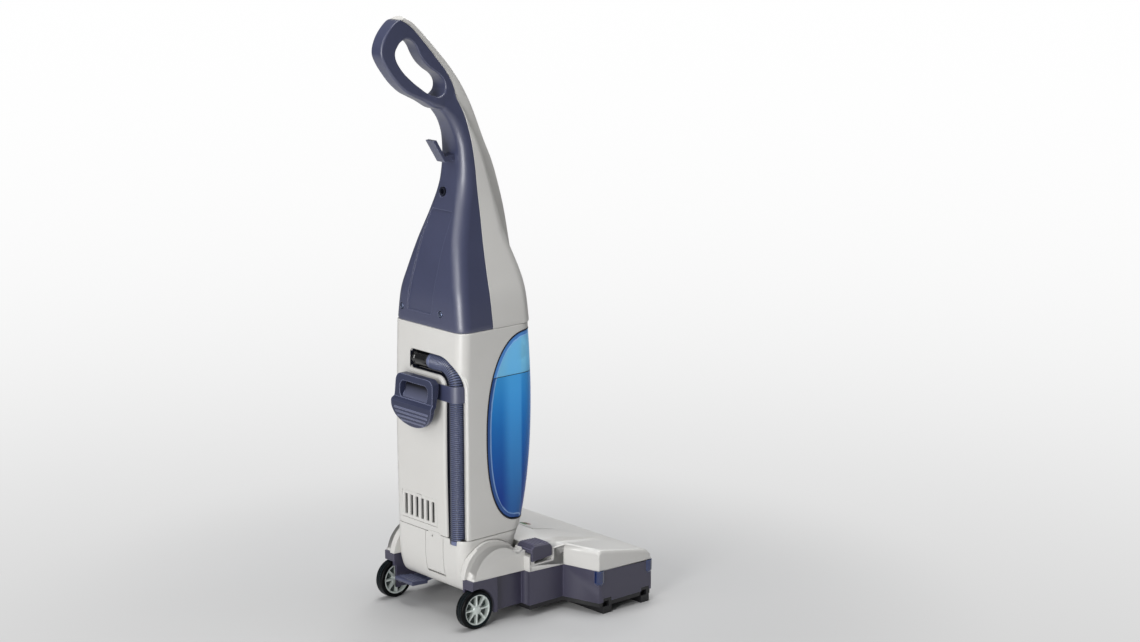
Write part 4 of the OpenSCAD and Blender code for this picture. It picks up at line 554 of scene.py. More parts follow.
here = addNode(tubeTree, "ShaderNodeMath", {"operation": "SUBTRACT"}, {0: kept.outputs[1], 1: given["From"]})
turns = addNode(tubeTree, "ShaderNodeMath", {"operation": "DIVIDE"}, {0: here.outputs[0], 1: given["Pitch"]})
phase = addNode(tubeTree, "ShaderNodeMath", {"operation": "MULTIPLY"}, {0: turns.outputs[0], 1: 2 * pi})
wave = addNode(tubeTree, "ShaderNodeMath", {"operation": "COSINE"}, {0: phase.outputs[0]})
dip = addNode(tubeTree, "ShaderNodeMapRange", {},
    {"Value": wave.outputs[0], "From Min": 1.0, "From Max": -1.0, "To Min": 0.0, "To Max": -1.0})
after = addNode(tubeTree, "ShaderNodeMath", {"operation": "GREATER_THAN"},
    {0: kept.outputs[1], 1: given["From"]})
before = addNode(tubeTree, "ShaderNodeMath", {"operation": "LESS_THAN"},
    {0: kept.outputs[1], 1: given["To"]})
inside = addNode(tubeTree, "ShaderNodeMath", {"operation": "MULTIPLY"},
    {0: after.outputs[0], 1: before.outputs[0]})
deep = addNode(tubeTree, "ShaderNodeMath", {"operation": "MULTIPLY"}, {0: dip.outputs[0], 1: given["Depth"]})
masked = addNode(tubeTree, "ShaderNodeMath", {"operation": "MULTIPLY"},
    {0: deep.outputs[0], 1: inside.outputs[0]})
out = addNode(tubeTree, "GeometryNodeInputNormal")
push = addNode(tubeTree, "ShaderNodeVectorMath", {"operation": "SCALE"},
    {0: out.outputs[0], "Scale": masked.outputs[0]})
# Painted shade: the dips between the ribs are stored as groove and darken the colour there.
marked = addNode(tubeTree, "ShaderNodeMath", {"operation": "MULTIPLY"},
    {0: dip.outputs[0], 1: inside.outputs[0]})
paintedGrooveShade = addNode(tubeTree, "ShaderNodeMath", {"operation": "MULTIPLY"}, {0: marked.outputs[0], 1: -1.0})
noted = addNode(tubeTree, "GeometryNodeStoreNamedAttribute", {"data_type": "FLOAT", "domain": "POINT"},
    {"Geometry": tube.outputs[0],
    "Name": "groove", "Value": paintedGrooveShade.outputs[0]})
shaped = addNode(tubeTree, "GeometryNodeSetPosition", {},
    {"Geometry": noted.outputs[0], "Offset": push.outputs[0]})
endTree(tubeTree, shaped.outputs[0], given["Material"])
print("node trees ready")

# ---------- housing ----------
hull = {"w": 215.0, "back": 73.0, "footBack": 3.0, "backSwell": 4.0, "front": 120.0, "footFront": 84.0,
    "shoulderFront": 112.0, "peak": 0.62, "crown": 6.0, "rearRound": 24.0, "frontRound": 38.0, "seam": 169.0,
    "shoulder": 582.5, "wall": 3.0}
bed = {"back": 14.0, "foot": 191.0, "top": 571.0, "mid": 367.0, "upperLip": -93.0, "lowerLip": -65.0}
binIn, binWall, binSplit = 2.9, 2.5, 484.0


def rise(z):
    return (z - hull["seam"]) / (hull["shoulder"] - hull["seam"])


def backY(z):
    t = rise(z)
    return hull["back"] + hull["footBack"] * (1 - t) + hull["backSwell"] * sin(pi * t)


def frontY(z):
    t = max(rise(z), 0)
    if t < hull["peak"]:
        swell = sin(pi / 2 * (t / hull["peak"]) ** 0.75)
        return -hull["footFront"] - (hull["front"] - hull["footFront"]) * swell
    above = (t - hull["peak"]) / (1 - hull["peak"])
    return -hull["front"] + (hull["front"] - hull["shoulderFront"]) * above ** 2


# Right half of an outline from the middle of the rear to the middle of the front.
def halfOutline(back, front, inset, crown):
    h = hull["w"] / 2 - inset
    r, q = hull["rearRound"] - inset, hull["frontRound"] - inset
    y, f = front + inset, h - q
    curve = [(x, y - crown * (1 - (x / f) ** 2)) for x in [f * k / 9 for k in range(8, -1, -1)]]
    return [(0, back - inset), ((h - r) * 0.5, back - inset)] + arc(h - r, back - inset - r, r, 90, 0, 12) \
        + arc(f, y + q, q, 0, -90, 14) + curve


def ringOf(half, z):
    left = [(-x, y) for x, y in reversed(half[1:-1])]
    return [(x, y, z) for x, y in half + left]


def housingLoft(z0, z1, inset, steps=60, chamfer=0.0):
    zs = [z0 + (z1 - z0) * i / steps for i in range(steps + 1)]
    if chamfer:
        zs = [z0] + [z0 + chamfer] + zs[1:-1] + [z1 - chamfer] + [z1]
    rings = [ringOf(halfOutline(backY(z), frontY(z), inset + (chamfer if chamfer and z in (z0, z1) else 0),
        hull["crown"]), z) for z in zs]
    return skin("housingLoft", rings)


def bedEdge(z, inset):
    if z > bed["mid"]:
        k = max(1 - ((z - bed["mid"]) / (bed["top"] - inset - bed["mid"])) ** 2.25, 0) ** 0.444
        return bed["upperLip"] + (bed["back"] - inset - bed["upperLip"]) * k
    k = max(1 - ((bed["mid"] - z) / (bed["mid"] - bed["foot"] - inset)) ** 2.4, 0) ** 0.417
    return bed["lowerLip"] + (bed["back"] - inset - bed["lowerLip"]) * k


def bedOutline(inset, n=32):
    top, foot = bed["top"] - inset, bed["foot"] + inset
    up = [top - (top - bed["mid"]) * (1 - cos(pi / 2 * i / n)) for i in range(n + 1)]
    down = [foot + (bed["mid"] - foot) * (1 - cos(pi / 2 * i / n)) for i in range(n - 1, -1, -1)]
    return [(-200, foot), (-200, top)] + [(bedEdge(z, inset), z) for z in up] + [(bedEdge(z, inset), z)
        for z in down]


hoseLine = {"r": 19.0, "x": -78.0, "y": 57.0, "raised": 4.5, "bend": 42.0, "top": 510.5, "foot": 159.0,
    "port": 50.0,
    "cuff": 46.0, "lip": 5.5, "ridgeOut": 29.5, "ridgeTip": -5.0, "endRound": 5.0}
bendX, bendZ = hoseLine["x"] + hoseLine["bend"], hoseLine["top"] - hoseLine["bend"]


# Point on the hose's middle line and the direction across it, at a distance from the foot.
def hoseAt(s, foot):
    rise1, turn = bendZ - foot, hoseLine["bend"] * pi / 2
    if s < rise1:
        return hoseLine["x"], foot + s, (-1.0, 0.0)
    if s < rise1 + turn:
        a = pi - (s - rise1) / hoseLine["bend"]
        return bendX + hoseLine["bend"] * cos(a), bendZ + hoseLine["bend"] * sin(a), (cos(a), sin(a))
    return bendX + s - rise1 - turn, hoseLine["top"], (0.0, 1.0)


# How far the straight run stands out towards the rear face; round the bend it sinks back to the port's depth.
def hoseRise(s, foot):
    t = min(max((s - bendZ + foot) / (hoseLine["bend"] * pi / 2), 0), 1)
    return hoseLine["raised"] * (1 - t * t * (3 - 2 * t))


# The hose's channel: round bottom, a straight side with a rolled lip, and a low round ridge at the corner.
def channelTool(r, lip, foot=160.0, end=50.0):
    total = bendZ - foot + hoseLine["bend"] * pi / 2 + end - bendX
    straight, turn, tail = bendZ - foot, hoseLine["bend"] * pi / 2, hoseLine["endRound"]
    stops = [straight * k / 20 for k in range(21)] + [straight + turn * k / 16 for k in range(1, 17)]
    stops += [total - tail + tail * sin(pi / 2 * k / 6) for k in range(7)]
    rings = []
    for s in stops:
        x, z, n = hoseAt(s, foot)
        squeeze = 1 - (tail - sqrt(max(tail ** 2 - max(s - total + tail, 0) ** 2, 0))) / r
        deep = hoseLine["y"] + hoseRise(s, foot)
        top = backY(z) - deep + 0.02
        low = min(max((straight + turn * 2 / 3 - s) / (turn * 2 / 3), 0), 1)
        low = low * low * (3 - 2 * low)
        bowl = [(r * cos(a), r * sin(a)) for a in [-pi * k / 24 for k in range(25)]]
        left = [(-r - lip + lip * cos(t), top - lip + lip * sin(t))
            for t in [pi / 2 * k / 10 for k in range(11)]]
        high = [(r + lip, top + 40), (r + lip, top)] + [(-u, v) for u, v in reversed(left)]
        width, tip = hoseLine["ridgeOut"] + 8, hoseLine["ridgeTip"]
        half = (hoseLine["ridgeOut"] - r) / 2
        ridge = [(width, top + 40), (width, tip)] + [(r + half + half * cos(t), tip + half * sin(t))
            for t in [pi * k / 10 for k in range(11)]]
        right = [tuple(a + (b - a) * low for a, b in zip(p, q)) for p, q in zip(high, ridge)]
        section = bowl + left + [(-r - lip, top + 40)] + right
        rings.append([(x + u * squeeze * n[0], deep + v, z + u * squeeze * n[1]) for u, v in section])
    return skin("channel", rings)


grille = {"x": 25.0, "z": 211.5, "w": 110.0, "h": 57.0}
door = {"x": -19.0, "foot": 86.0, "w": 56.0, "tabW": 36.0, "tabH": 4.0, "air": 0.4, "gap": 0.9}
doorHalf, tabHalf = door["w"] / 2 + door["air"], door["tabW"] / 2 + door["air"]
hookZ, strapZ = hoseLine["top"] - 55.5, hoseLine["top"] - 65.5

housing = housingLoft(hull["seam"] + 0.5, hull["shoulder"] - 0.5, 0.0, 60, 1.2)
cut(housing, across(-150, 150, bedOutline(0.0)))
cut(housing, channelTool(hoseLine["r"], hoseLine["lip"]))
underside = housingLoft(hull["seam"] - 1, bed["foot"] - 3, hull["wall"], 4)
cut(underside, block((-150, hoseLine["y"] - 22, 100), (-50, 150, 300)))
cut(housing, underside)
gy = backY(grille["z"])
cut(housing, block((grille["x"] - grille["w"] / 2, gy - 21, grille["z"] - grille["h"] / 2),
                   (grille["x"] + grille["w"] / 2, 120, grille["z"] + grille["h"] / 2)),
    rod((49, hoseLine["y"], hoseLine["top"]), (62, hoseLine["y"], hoseLine["top"]), 12),
    rod((0, 20, hookZ), (0, 150, hookZ), 9),
    block((door["x"] - tabHalf, 20, 150), (door["x"] + tabHalf, 200, hull["seam"] + door["tabH"])))

# Strap round the hose: it wraps the outer side and runs flat towards the middle of the rear face.
strapLook = {"from": 80, "to": 196, "tail": 40, "inner": 16.9, "outer": 19.5, "height": 32,
    "slotInner": 16.6, "slotOuter": 20.2, "air": 0.4, "edge": 0.7}


def strapForm(inner, outer, z0, z1):
    y, tail = hoseLine["y"] + hoseLine["raised"], strapLook["tail"]
    line = arc(0, 0, inner, strapLook["to"], strapLook["from"], 28) + [(tail, inner), (tail, outer)] \
        + arc(0, 0, outer, strapLook["from"], strapLook["to"], 28)
    return skin("strap", [[(hoseLine["x"] + u, y + v, z) for u, v in line] for z in (z0, z1)])


cut(housing, strapForm(strapLook["slotInner"], strapLook["slotOuter"], strapZ - strapLook["air"],
    strapZ + strapLook["height"] + strapLook["air"]))
finishPiece(housing, "main_shell", shellGrey, ["main_housing"], 30)
# Painted shade: faces inside the hose's channel, below its lips, take the dark slate.
housing.data.materials.append(paintedRecessShade)
path = [hoseAt(s * 2.0, 160) for s in range(230)]
for face in housing.data.polygons:
    x, y, z = (c / mm - s for c, s in zip(face.center, shift))
    away = min(hypot(x - a, z - b) for a, b, n in path if a < 51)
    beside = x > hoseLine["x"] or y < hoseLine["y"] - 8
    reach = hypot(away, min(y - hoseLine["y"] - hoseLine["raised"], 0))
    if z > 160 and reach < hoseLine["r"] + 0.6 and y < backY(z) - 6 and beside:
        face.material_index = 1
print("main housing", len(housing.data.polygons))

# Black seal round the bin, a hair proud of the shell so that it reads as its own line.
seal = housingLoft(170.0, 581.0, -0.35, 60)
strip = across(-150, 150, bedOutline(0.02))
cut(strip, across(-160, 160, bedOutline(2.5)))
cut(seal, strip, mode="INTERSECT")
cut(seal, housingLoft(165.0, 585.0, 7.0, 30))
finishPiece(seal, "bin_gasket", blackGasket, ["bin_seal"], 40)

# Lower housing: tucks in below and keeps its round corners down to the foot.
backSeam = backY(hull["seam"])


def lowTable(points):
    return [tuple(p) for p in sampled(points, 8 * (len(points) - 1))]


# Rear and front lines as (height, place), for the outside and for the inside of the wall.
lowBack, lowFront = {}, {}
for inset in (0.0, hull["wall"]):
    back, front = backSeam - inset, inset - hull["footFront"]
    lowBack[inset] = lowTable([(57 + inset, back - 36), (67 + inset * 0.7, back - 15), (88, back - 5),
        (124, back), (174, back)])
    lowFront[inset] = lowTable([(57 + inset, front + 54 - inset), (64 + inset, front + 36),
        (100, front + 22),
        (141, front + 12), (169, front), (174, front)])


def lowLoft(inset, top):
    zs = [57 + inset + (top - 57 - inset) * (i / 40) ** 1.35 for i in range(41)]
    rings = []
    for z in zs:
        crown = hull["crown"] * min(max((z - 148) / 21, 0), 1)
        tip = 0.7 if z == zs[-1] and inset == 0 else 0.0
        rings.append(ringOf(halfOutline(lookup(lowBack[inset], z) + inset,
            lookup(lowFront[inset], z) - inset, inset + tip, crown), z))
    return skin("lowLoft", rings)


pivot, earIn, earR = (10.0, 90.0), 104.4, 72.0
lower = lowLoft(0.0, hull["seam"] - 0.3)
cut(lower, lowLoft(hull["wall"], hull["seam"] + 2))
for side in (-1, 1):
    cheek = rod((side * (earIn - 3.8), *pivot), (side * (earIn + 5.2), *pivot), earR + 5, 96)
    cut(cheek, lowLoft(0.0, hull["seam"] - 0.3), mode="INTERSECT")
    cut(lower, cheek, rod((side * (earIn - 10.3), *pivot), (side * (earIn - 0.8), *pivot), 28), mode="UNION")
for side in (-1, 1):
    cut(lower, rod((side * (earIn - 0.8), *pivot), (side * 130, *pivot), earR + 1.2, 120),
        rod((side * (earIn - 15), *pivot), (side * (earIn + 20), *pivot), 24))
hoseSpot, hoseHole = (hoseLine["x"], hoseLine["y"] + hoseLine["raised"]), 17.4
cut(lower, block((door["x"] - doorHalf, 40, door["foot"]), (door["x"] + doorHalf, 120, 200)),
    rod((*hoseSpot, 158.5), (*hoseSpot, 180), hoseHole))
# Relief below the door, so that its lower edge clears the shell as it swings out.
cut(lower, across(door["x"] - doorHalf, door["x"] + doorHalf,
    [(66, 86.6), (66, 85.8), (73, 83.4), (84, 83.4), (84, 86.6)]))
finishPiece(lower, "lower_shell", shellGrey, ["lower_housing"], 32)
print("lower housing", len(lower.data.polygons))

# Access door, flush with the lower housing.
pinY, pinZ = backSeam - 5 + (door["foot"] + 7.1 - 88) / 7.2 - 6.5, door["foot"] + 7.1
hatch = lowLoft(0.0, hull["seam"] - 0.4)
cut(hatch, lowLoft(hull["wall"], hull["seam"] + 2))
reach = door["w"] / 2 - door["gap"]
inHatch = block((door["x"] - reach, 30, pinZ), (door["x"] + reach, 100, hull["seam"] - 0.5))
cut(inHatch, rod((door["x"] - reach, pinY, pinZ), (door["x"] + reach, pinY, pinZ), 6.6, 64), mode="UNION")
cut(hatch, inHatch, mode="INTERSECT")
cut(hatch, rod((door["x"] + 6, 40, 163), (door["x"] + 6, 120, 163), 2.2))
cut(hatch, block((door["x"] - door["tabW"] / 2, backSeam - 3, hull["seam"] - 1),
    (door["x"] + door["tabW"] / 2, backSeam, hull["seam"] + door["tabH"] - door["air"])),
    rod((door["x"] - 15, pinY, pinZ), (door["x"] + 15, pinY, pinZ), 3.2),
    block((door["x"] - 15, pinY, pinZ - 1), (door["x"] + 15, pinY + 5, pinZ + 2.6)), mode="UNION")
finishPiece(hatch, "access_hatch", shellGrey, ["access_door"], 32)

# ---------- dust bin ----------
bedLine = bedOutline(binIn, 60)[2:]


# Point at a distance along the bin's outline, from its rear edge round to the middle of the front.
def binHalf(z, inset):
    edge = bedEdge(z + (0.8 if z > bed["mid"] else -0.8), binIn + inset) - 0.3
    h, q = hull["w"] / 2 - inset, hull["frontRound"] - inset
    y, f = frontY(z) + inset, h - q
    path = [(h, edge)] if edge > y + q else []
    path += [p for p in arc(f, y + q, q, 0, -90, 40) if p[1] < edge]
    path += [(x, y - hull["crown"] * (1 - (x / f) ** 2)) for x in [f * k / 12 for k in range(11, -1, -1)]]
    if edge <= y + q:
        x = f + sqrt(max(q * q - (edge - y - q) ** 2, 0)) if edge > y else f
        path = [(x, edge)] + path
    lengths = [0.0]
    for a, b in zip(path, path[1:]):
        lengths.append(lengths[-1] + hypot(b[0] - a[0], b[1] - a[1]))
    total = lengths[-1]
    stops = [0, 2.5, 5, 7.5, 9.5, 13, 20] + [20 + (total - 20) * k / 26 for k in range(1, 27)]
    points, i = [], 0
    for s in stops:
        s = min(s, total)
        while i < len(path) - 2 and lengths[i + 1] < s:
            i += 1
        f2 = (s - lengths[i]) / max(lengths[i + 1] - lengths[i], 1e-9)
        points.append(tuple(u + (v - u) * f2 for u, v in zip(path[i], path[i + 1])))
    return points


def binLoft(z0, z1, inset, steps=56):
    rings = []
    for i in range(steps + 1):
        z = z0 + (z1 - z0) * (1 - cos(pi * i / steps)) / 2
        half = binHalf(z, inset)
        rings.append([(x, y, z) for x, y in half] + [(-x, y, z) for x, y in reversed(half[:-1])])
    return skin("binLoft", rings)


# Marks the moulded rim that runs beside the seal.
def markRim(piece, width=8.0):
    mesh = piece.data
    mark = mesh.attributes.new("rim", "FLOAT", "POINT")
    for v in mesh.vertices:
        y, z = v.co.y / mm - shift.y, v.co.z / mm
        near = min(hypot(y - a, z - b) for a, b in bedLine)
        mark.data[v.index].value = min(max((width + 1.2 - near) / 1.6, 0), 1)
    return piece


binBody = binLoft(bed["foot"] + binIn, binSplit - 0.3, 0.3)
cut(binBody, binLoft(bed["foot"] + binIn + binWall, binSplit + 2, 0.3 + binWall, 40))
markRim(binBody)
finishPiece(binBody, "bin_cup", clearBody, ["bin_body"], 40)

blockY = -hull["front"] - hull["crown"] - 9
notch = (-34.5, binSplit + 6, binSplit + 61, -74.0)
lidTop = bed["top"] - binIn
lid = binLoft(binSplit + 0.3, lidTop - 1.5, 0.3, 40)
cut(lid, across(-30.5, 30.5, [(blockY, binSplit + 20), (blockY, lidTop - 13), (blockY + 1.6, lidTop - 8),
    (blockY + 6, lidTop - 5),
    (blockY + 22, lidTop - 3), (blockY + 22, binSplit + 20)]), mode="UNION")
lidRoom = binLoft(binSplit + 0.3 + binWall, lidTop - binWall - 3, 0.3 + binWall, 24)
notchRoom = binLoft(binSplit + 1, lidTop - 2, 3.0, 24)
cut(notchRoom, block((-hull["w"], -200, notch[1]), (notch[0], notch[3], notch[2])), mode="INTERSECT")
cut(lidRoom, block((-150, -200, notch[1] - binWall),
    (notch[0] + binWall, notch[3] + binWall, notch[2] + binWall)))
cut(lid, lidRoom, notchRoom, block((-90, -200, notch[1]), (notch[0], -100, notch[2])),
    block((-10, blockY - 1, binSplit + 30), (10, blockY + 5, binSplit + 71)))
markRim(lid)
lip = binLoft(binSplit - 0.28, binSplit + 1.1, 0.8, 8)
cut(lip, binLoft(binSplit - 3, binSplit + 3, 2.6, 8))
cut(lid, binLoft(binSplit - 1, binSplit + 1.1, -1.0, 8))
finishPiece(merged("lidParts", [(lid, clearLid), (lip, blackGasket)]), "bin_lid_shell", None, ["bin_lid"],
    35)
smoothCopy("bin_latch", clearLid, 0.8)
smoothCopy("bin_tube", ductBlue, 0.6)
smoothCopy("bin_filter", filterFelt, 0.0)
smoothCopy("lock_slider", tealAbs, 0.4)
print("bin ready")

# Filter knob: fluted rim, dished face.
knobAt = (-66.0, notch[3], binSplit + 34)
knobR = 19.0
profile = [(0.4, knobR - 1.2), (1.2, knobR), (30.5, knobR), (33.2, knobR - 1.2), (34.4, knobR - 3.5),
    (34.4, 14),
    (32.4, 13), (32.4, 0.01)]
ringCount, flutes, fluteDepth = 144, 18, 1.3
rings = []
for d, r in profile:
    ring = []
    for i in range(ringCount):
        a = 2 * pi * i / ringCount
        flute = fluteDepth * (0.5 - 0.5 * cos(flutes * a)) ** 1.5 if r > knobR - 2 and d > 1 else 0
        ring.append((knobAt[0] + (r - flute) * cos(a), knobAt[1] - d, knobAt[2] + (r - flute) * sin(a)))
    rings.append(ring)
knobStem = rod((knobAt[0], knobAt[1] + 12, knobAt[2]), (knobAt[0], knobAt[1] - 1, knobAt[2]), 4)
knob = merged("knob", [(skin("knobSkin", rings), blackNylon), (knobStem, blackNylon)])
finishPiece(knob, "filter_knob_fluted", None, ["filter_knob"], 40)

# ---------- handle ----------
neckRows = [
    ((73, 0), (-6, 0), (-127, 0), 215, 60, 0.876), ((70.5, 58), (-5, 58), (-125.5, 58), 200, 60, 0.87),
    ((63, 102), (-7, 102), (-122.5, 102), 176, 60, 0.84),
    ((50, 160), (-12, 160), (-113, 160), 142, 58, 0.75),
    ((31, 216), (-17, 216), (-102.5, 216), 113, 56, 0.66),
    ((17, 262), (-18.5, 262), (-91, 262), 94, 53, 0.6),
    ((9.5, 310), (-18, 310), (-76, 310), 82, 50, 0.52), ((12, 356), (-13, 357), (-55, 359), 73, 46, 0.42),
    ((27, 395), (-3, 404), (-32, 416), 60, 42, 0.16), ((50, 423), (9, 434), (-16, 448), 49, 39, 0.06)]
capRows = [((17, 464), (0, 474), 40), ((32.6, 492.6), (20, 501), 37), ((56.8, 521.9), (47, 531), 35),
    ((85.4, 553.6), (77, 562), 34),
    ((113.8, 581.8), (106, 589), 34), ((136, 594.8), (127, 600), 33)]
# inner point, outer point, width, inner and outer edge radius
loopRows = [
    ((150, 534), (184, 540), 33, 4, 4.5), ((147, 518), (177, 516), 33, 4, 4.5),
    ((132, 497), (151, 481), 33, 4, 4.5),
    ((111, 478), (127, 459), 33, 4, 5), ((94, 465), (107, 448), 35, 4, 6.5),
    ((77, 453), (86, 438), 39, 4, 7.5),
    ((55, 445), (55, 421), 46, 4, 12), ((42, 450), (29, 422), 46.5, 4, 3),
    ((36, 460), (12.6, 441.3), 43.6, 4, 0.8),
    ((38, 474), (17.2, 463.7), 40, 4, 0.6), ((49, 487), (32.8, 492.2), 37, 3.5, 0.6),
    ((66, 498), (50, 513.6), 35, 3.5, 0.6),
    ((81, 511), (68, 534.2), 34, 3.5, 0.6), ((93, 527), (81, 548.6), 33, 3.5, 0.6),
    ((102, 544), (94, 562), 33, 3.5, 0.6),
    ((112, 554), (107, 575), 33, 3.5, 0.6), ((124, 558), (124, 588.3), 33, 4, 0.6),
    ((136, 554), (144.5, 593.5), 33, 4, 1),
    ((144, 546), (172, 569), 33, 4, 4)]
rise0 = hull["shoulder"]


def flatRow(row):
    return [row[0][0], row[0][1], row[1][0], row[1][1], row[2][0], row[2][1]] + list(row[3:])


# A half section laid between two points of the side view, then mirrored.
def laidSection(half, a, b):
    d = hypot(b[0] - a[0], b[1] - a[1])
    u = ((b[0] - a[0]) / d, (b[1] - a[1]) / d)
    full = list(half) + [(-x, v) for x, v in reversed(half[:-1])]
    return [(x, a[0] + v * u[0], rise0 + a[1] + v * u[1]) for x, v in full]


def rearSection(w, d):
    r = max(min(26, 0.3 * w, 0.8 * d), 1)
    h = w / 2
    return [(h - 1.0, 0), (h, 1.1)] + arc(h - r, d - r, r, 0, 90, 12) + [((h - r) * 0.5, d), (0, d)]


def frontSection(w, d, rw, share):
    h = w / 2
    s = max(d * share, 0.4)
    r = max(min(30, 0.25 * w, 0.9 * s, 0.8 * (h - rw / 2)), 0.3)
    g = min(rw / 2 + 3, h - r - 0.2)
    ridge = chaikin([(h - r, s), (g + 1, s - 3), (rw / 2, max(d - 4, s + 0.3)), (rw / 2 - 4, d), (0, d + 1)],
        2)
    return [(h - 0.5, 0), (h, min(0.6, (s - r) * 0.5 + 0.2))] + arc(h - r, s - r, r, 0, 90, 8)[:-1] + ridge


rows = sampled([flatRow(row) for row in neckRows + [((60, 436), (16, 449), (-10, 462), 43, 36, 0.06)]], 80)
rings = []
for row in rows:
    a, b = (row[2], row[3]), (row[0], row[1])
    rings.append(laidSection(rearSection(row[6], hypot(a[0] - b[0], a[1] - b[1])), a, b))
rings[0] = [(x * 0.988, y * 0.988, rise0 + 0.3) for x, y, z in rings[0]]
handle = skin("handle", rings)
loop = []
for row in sampled([[*a, *b, w, q, c] for a, b, w, q, c in loopRows], 152, True):
    a, b, w = (row[0], row[1]), (row[2], row[3]), row[4]
    d = hypot(b[0] - a[0], b[1] - a[1])
    u = ((b[0] - a[0]) / d, (b[1] - a[1]) / d)
    q, c, h = max(min(row[5], 0.42 * d), 0.4), max(min(row[6], 0.5 * d), 0.4), w / 2
    half = [(h * 0.45, 0)] + arc(h - q, q, q, -90, 0, 6) + arc(h - c, d - c, c, 0, 90, 8) + [(h * 0.45, d)]
    full = half + [(-x, v) for x, v in reversed(half)]
    loop.append([(x, a[0] + v * u[0], rise0 + a[1] + v * u[1]) for x, v in full])
cut(handle, skin("loop", loop, True), mode="UNION")


def rearY(h):
    return next(r1[0] + (r2[0] - r1[0]) * (h - r1[1]) / (r2[1] - r1[1]) for r1,
        r2 in zip(rows, rows[1:]) if r2[1] >= h)


# Bare sunk panel on the rear face.
def panelTool(depth, inset=0.0):
    rings = []
    for k in range(31):
        h = 24 + inset + (198 - 2 * inset) * k / 30
        left, right = -14 - 16 * (h - 24) / 198 + inset, 63 - 26 * (h - 24) / 198 - inset
        if k in (0, 30):
            left, right = left + 2.5, right - 2.5
        y = rearY(h)
        rings.append([(left, y - depth, rise0 + h), (right, y - depth, rise0 + h),
            (right, y + 12, rise0 + h), (left, y + 12, rise0 + h)])
    return skin("panel", rings)


cordX, cordH, hookSeat, screwSeat = 13.0, 256.0, 9.5, 66.5
screwSpots = [(-41, 29), (79, 27)]
cut(handle, panelTool(3.0), rod((cordX, 60, rise0 + cordH), (cordX, -12, rise0 + cordH), 7.5),
    block((-12.2, hookSeat, rise0 + 317.8), (12.2, 60, rise0 + 330.2)))
mouth = rearY(cordH)
cut(handle, skin("mouth", [[(cordX + r * cos(2 * pi * i / 48), y, rise0 + cordH + r * sin(2 * pi * i / 48))
    for i in range(48)]
    for r, y in ((7.4, mouth - 3.5), (9.0, mouth - 1.2), (11.4, mouth + 3))]))
for x, h in screwSpots:
    cut(handle, rod((x, screwSeat, rise0 + h), (x, 95, rise0 + h), 7.0))
finishPiece(handle, "handle_rear_shell", slateAbs, ["handle_rear", "hand_loop"], 34)
# Blued screws with a slot across the head.
screwParts = []
for x, h in screwSpots:
    z = rise0 + h
    dome = [(5.723, 66.5), (5.723, 71.2), (5.238, 72.2), (4.074, 72.9), (2.328, 73.2), (0.0194, 73.3)]
    head = skin("head", [[(x + r * cos(2 * pi * i / 40), y, z + r * sin(2 * pi * i / 40))
        for i in range(40)] for r, y in dome])
    cut(head, skin("slot", [[(x - 7, y, z - 4.9), (x - 5.8, y, z - 6.1), (x + 7, y, z + 4.9),
        (x + 5.8, y, z + 6.1)] for y in (71.2, 77)]))
    screwParts += [(head, bluedSteel), (rod((x, 42.5, z), (x, 67, z), 2.2), bluedSteel)]
finishPiece(merged("screws", screwParts), "handle_screws_slotted", None, ["handle_screws"], 40)
print("handle rear", len(handle.data.polygons))

frontRows = [[*r[1], *r[2], r[3], r[4], r[5]] for r in neckRows]
frontRows += [[*a, *b, w, w - 3, 0.05] for a, b, w in capRows]
rings = []
for row in sampled(frontRows, 130):
    a, b = (row[0], row[1]), (row[2], row[3])
    rings.append(laidSection(frontSection(row[4], hypot(a[0] - b[0], a[1] - b[1]), row[5],
        max(row[6], 0.04)), a, b))
rings[0] = [(x * 0.988, y * 0.988, rise0 + 0.3) for x, y, z in rings[0]]
crest = skin("crest", rings)


# Frame of reference lying on the ridge, its third axis out of the ridge.
def ridgePoint(h):
    table = [(r[2][1], r[2][0]) for r in neckRows]
    return Vector((0, lookup(table, h), rise0 + h))


def onRidge(h, p):
    run = (ridgePoint(h + 20) - ridgePoint(h - 20)).normalized()
    out3 = Vector((1, 0, 0)).cross(run)
    q = ridgePoint(h) + p[0] * Vector((1, 0, 0)) + p[1] * run + p[2] * out3
    return tuple(q)


def ridgeBlock(h, a, b):
    corners = [[(x, y, z) for x, y in ((a[0], a[1]), (b[0], a[1]), (b[0], b[1]), (a[0], b[1]))]
        for z in (a[2], b[2])]
    return skin("ridgeBlock", [[onRidge(h, p) for p in ring] for ring in corners])


switchH, buttonH, frameW, frameL = 283.0, 412.0, 32.0, 78.0
cut(crest, ridgeBlock(switchH, (-frameW / 2 - 0.2, -frameL / 2 - 0.2, -6),
    (frameW / 2 + 0.2, frameL / 2 + 0.2, 10)),
    rod(onRidge(buttonH, (0, 0, -10)), onRidge(buttonH, (0, 0, 12)), 9.2))
finishPiece(crest, "handle_front_shell", shellGrey, ["handle_front"], 40)
print("handle front", len(crest.data.polygons))

# ---------- hose ----------
foot, cuffAir = hoseLine["foot"], 1.5
total = bendZ - foot + hoseLine["bend"] * pi / 2 + hoseLine["port"] - cuffAir - hoseLine["cuff"] - bendX
points = []
for k in range(121):
    x, z, n = hoseAt(total * k / 120, foot)
    points.append((x, hoseLine["y"] + hoseRise(total * k / 120, foot), z))
line = rawPiece("hose", points, [])
line.data.clear_geometry()
line.data.from_pydata([inFrame(p) for p in points], [(i, i + 1) for i in range(len(points) - 1)], [])
smoothEnd = (total - int((total - 12) / 4) * 4) / 2
applyTree(line, tubeTree, {"Radius": 0.0165, "Pitch": 0.004, "Depth": 0.002, "From": smoothEnd * mm,
    "To": (total - smoothEnd) * mm, "Step": 0.0005, "Material": hoseVinyl})
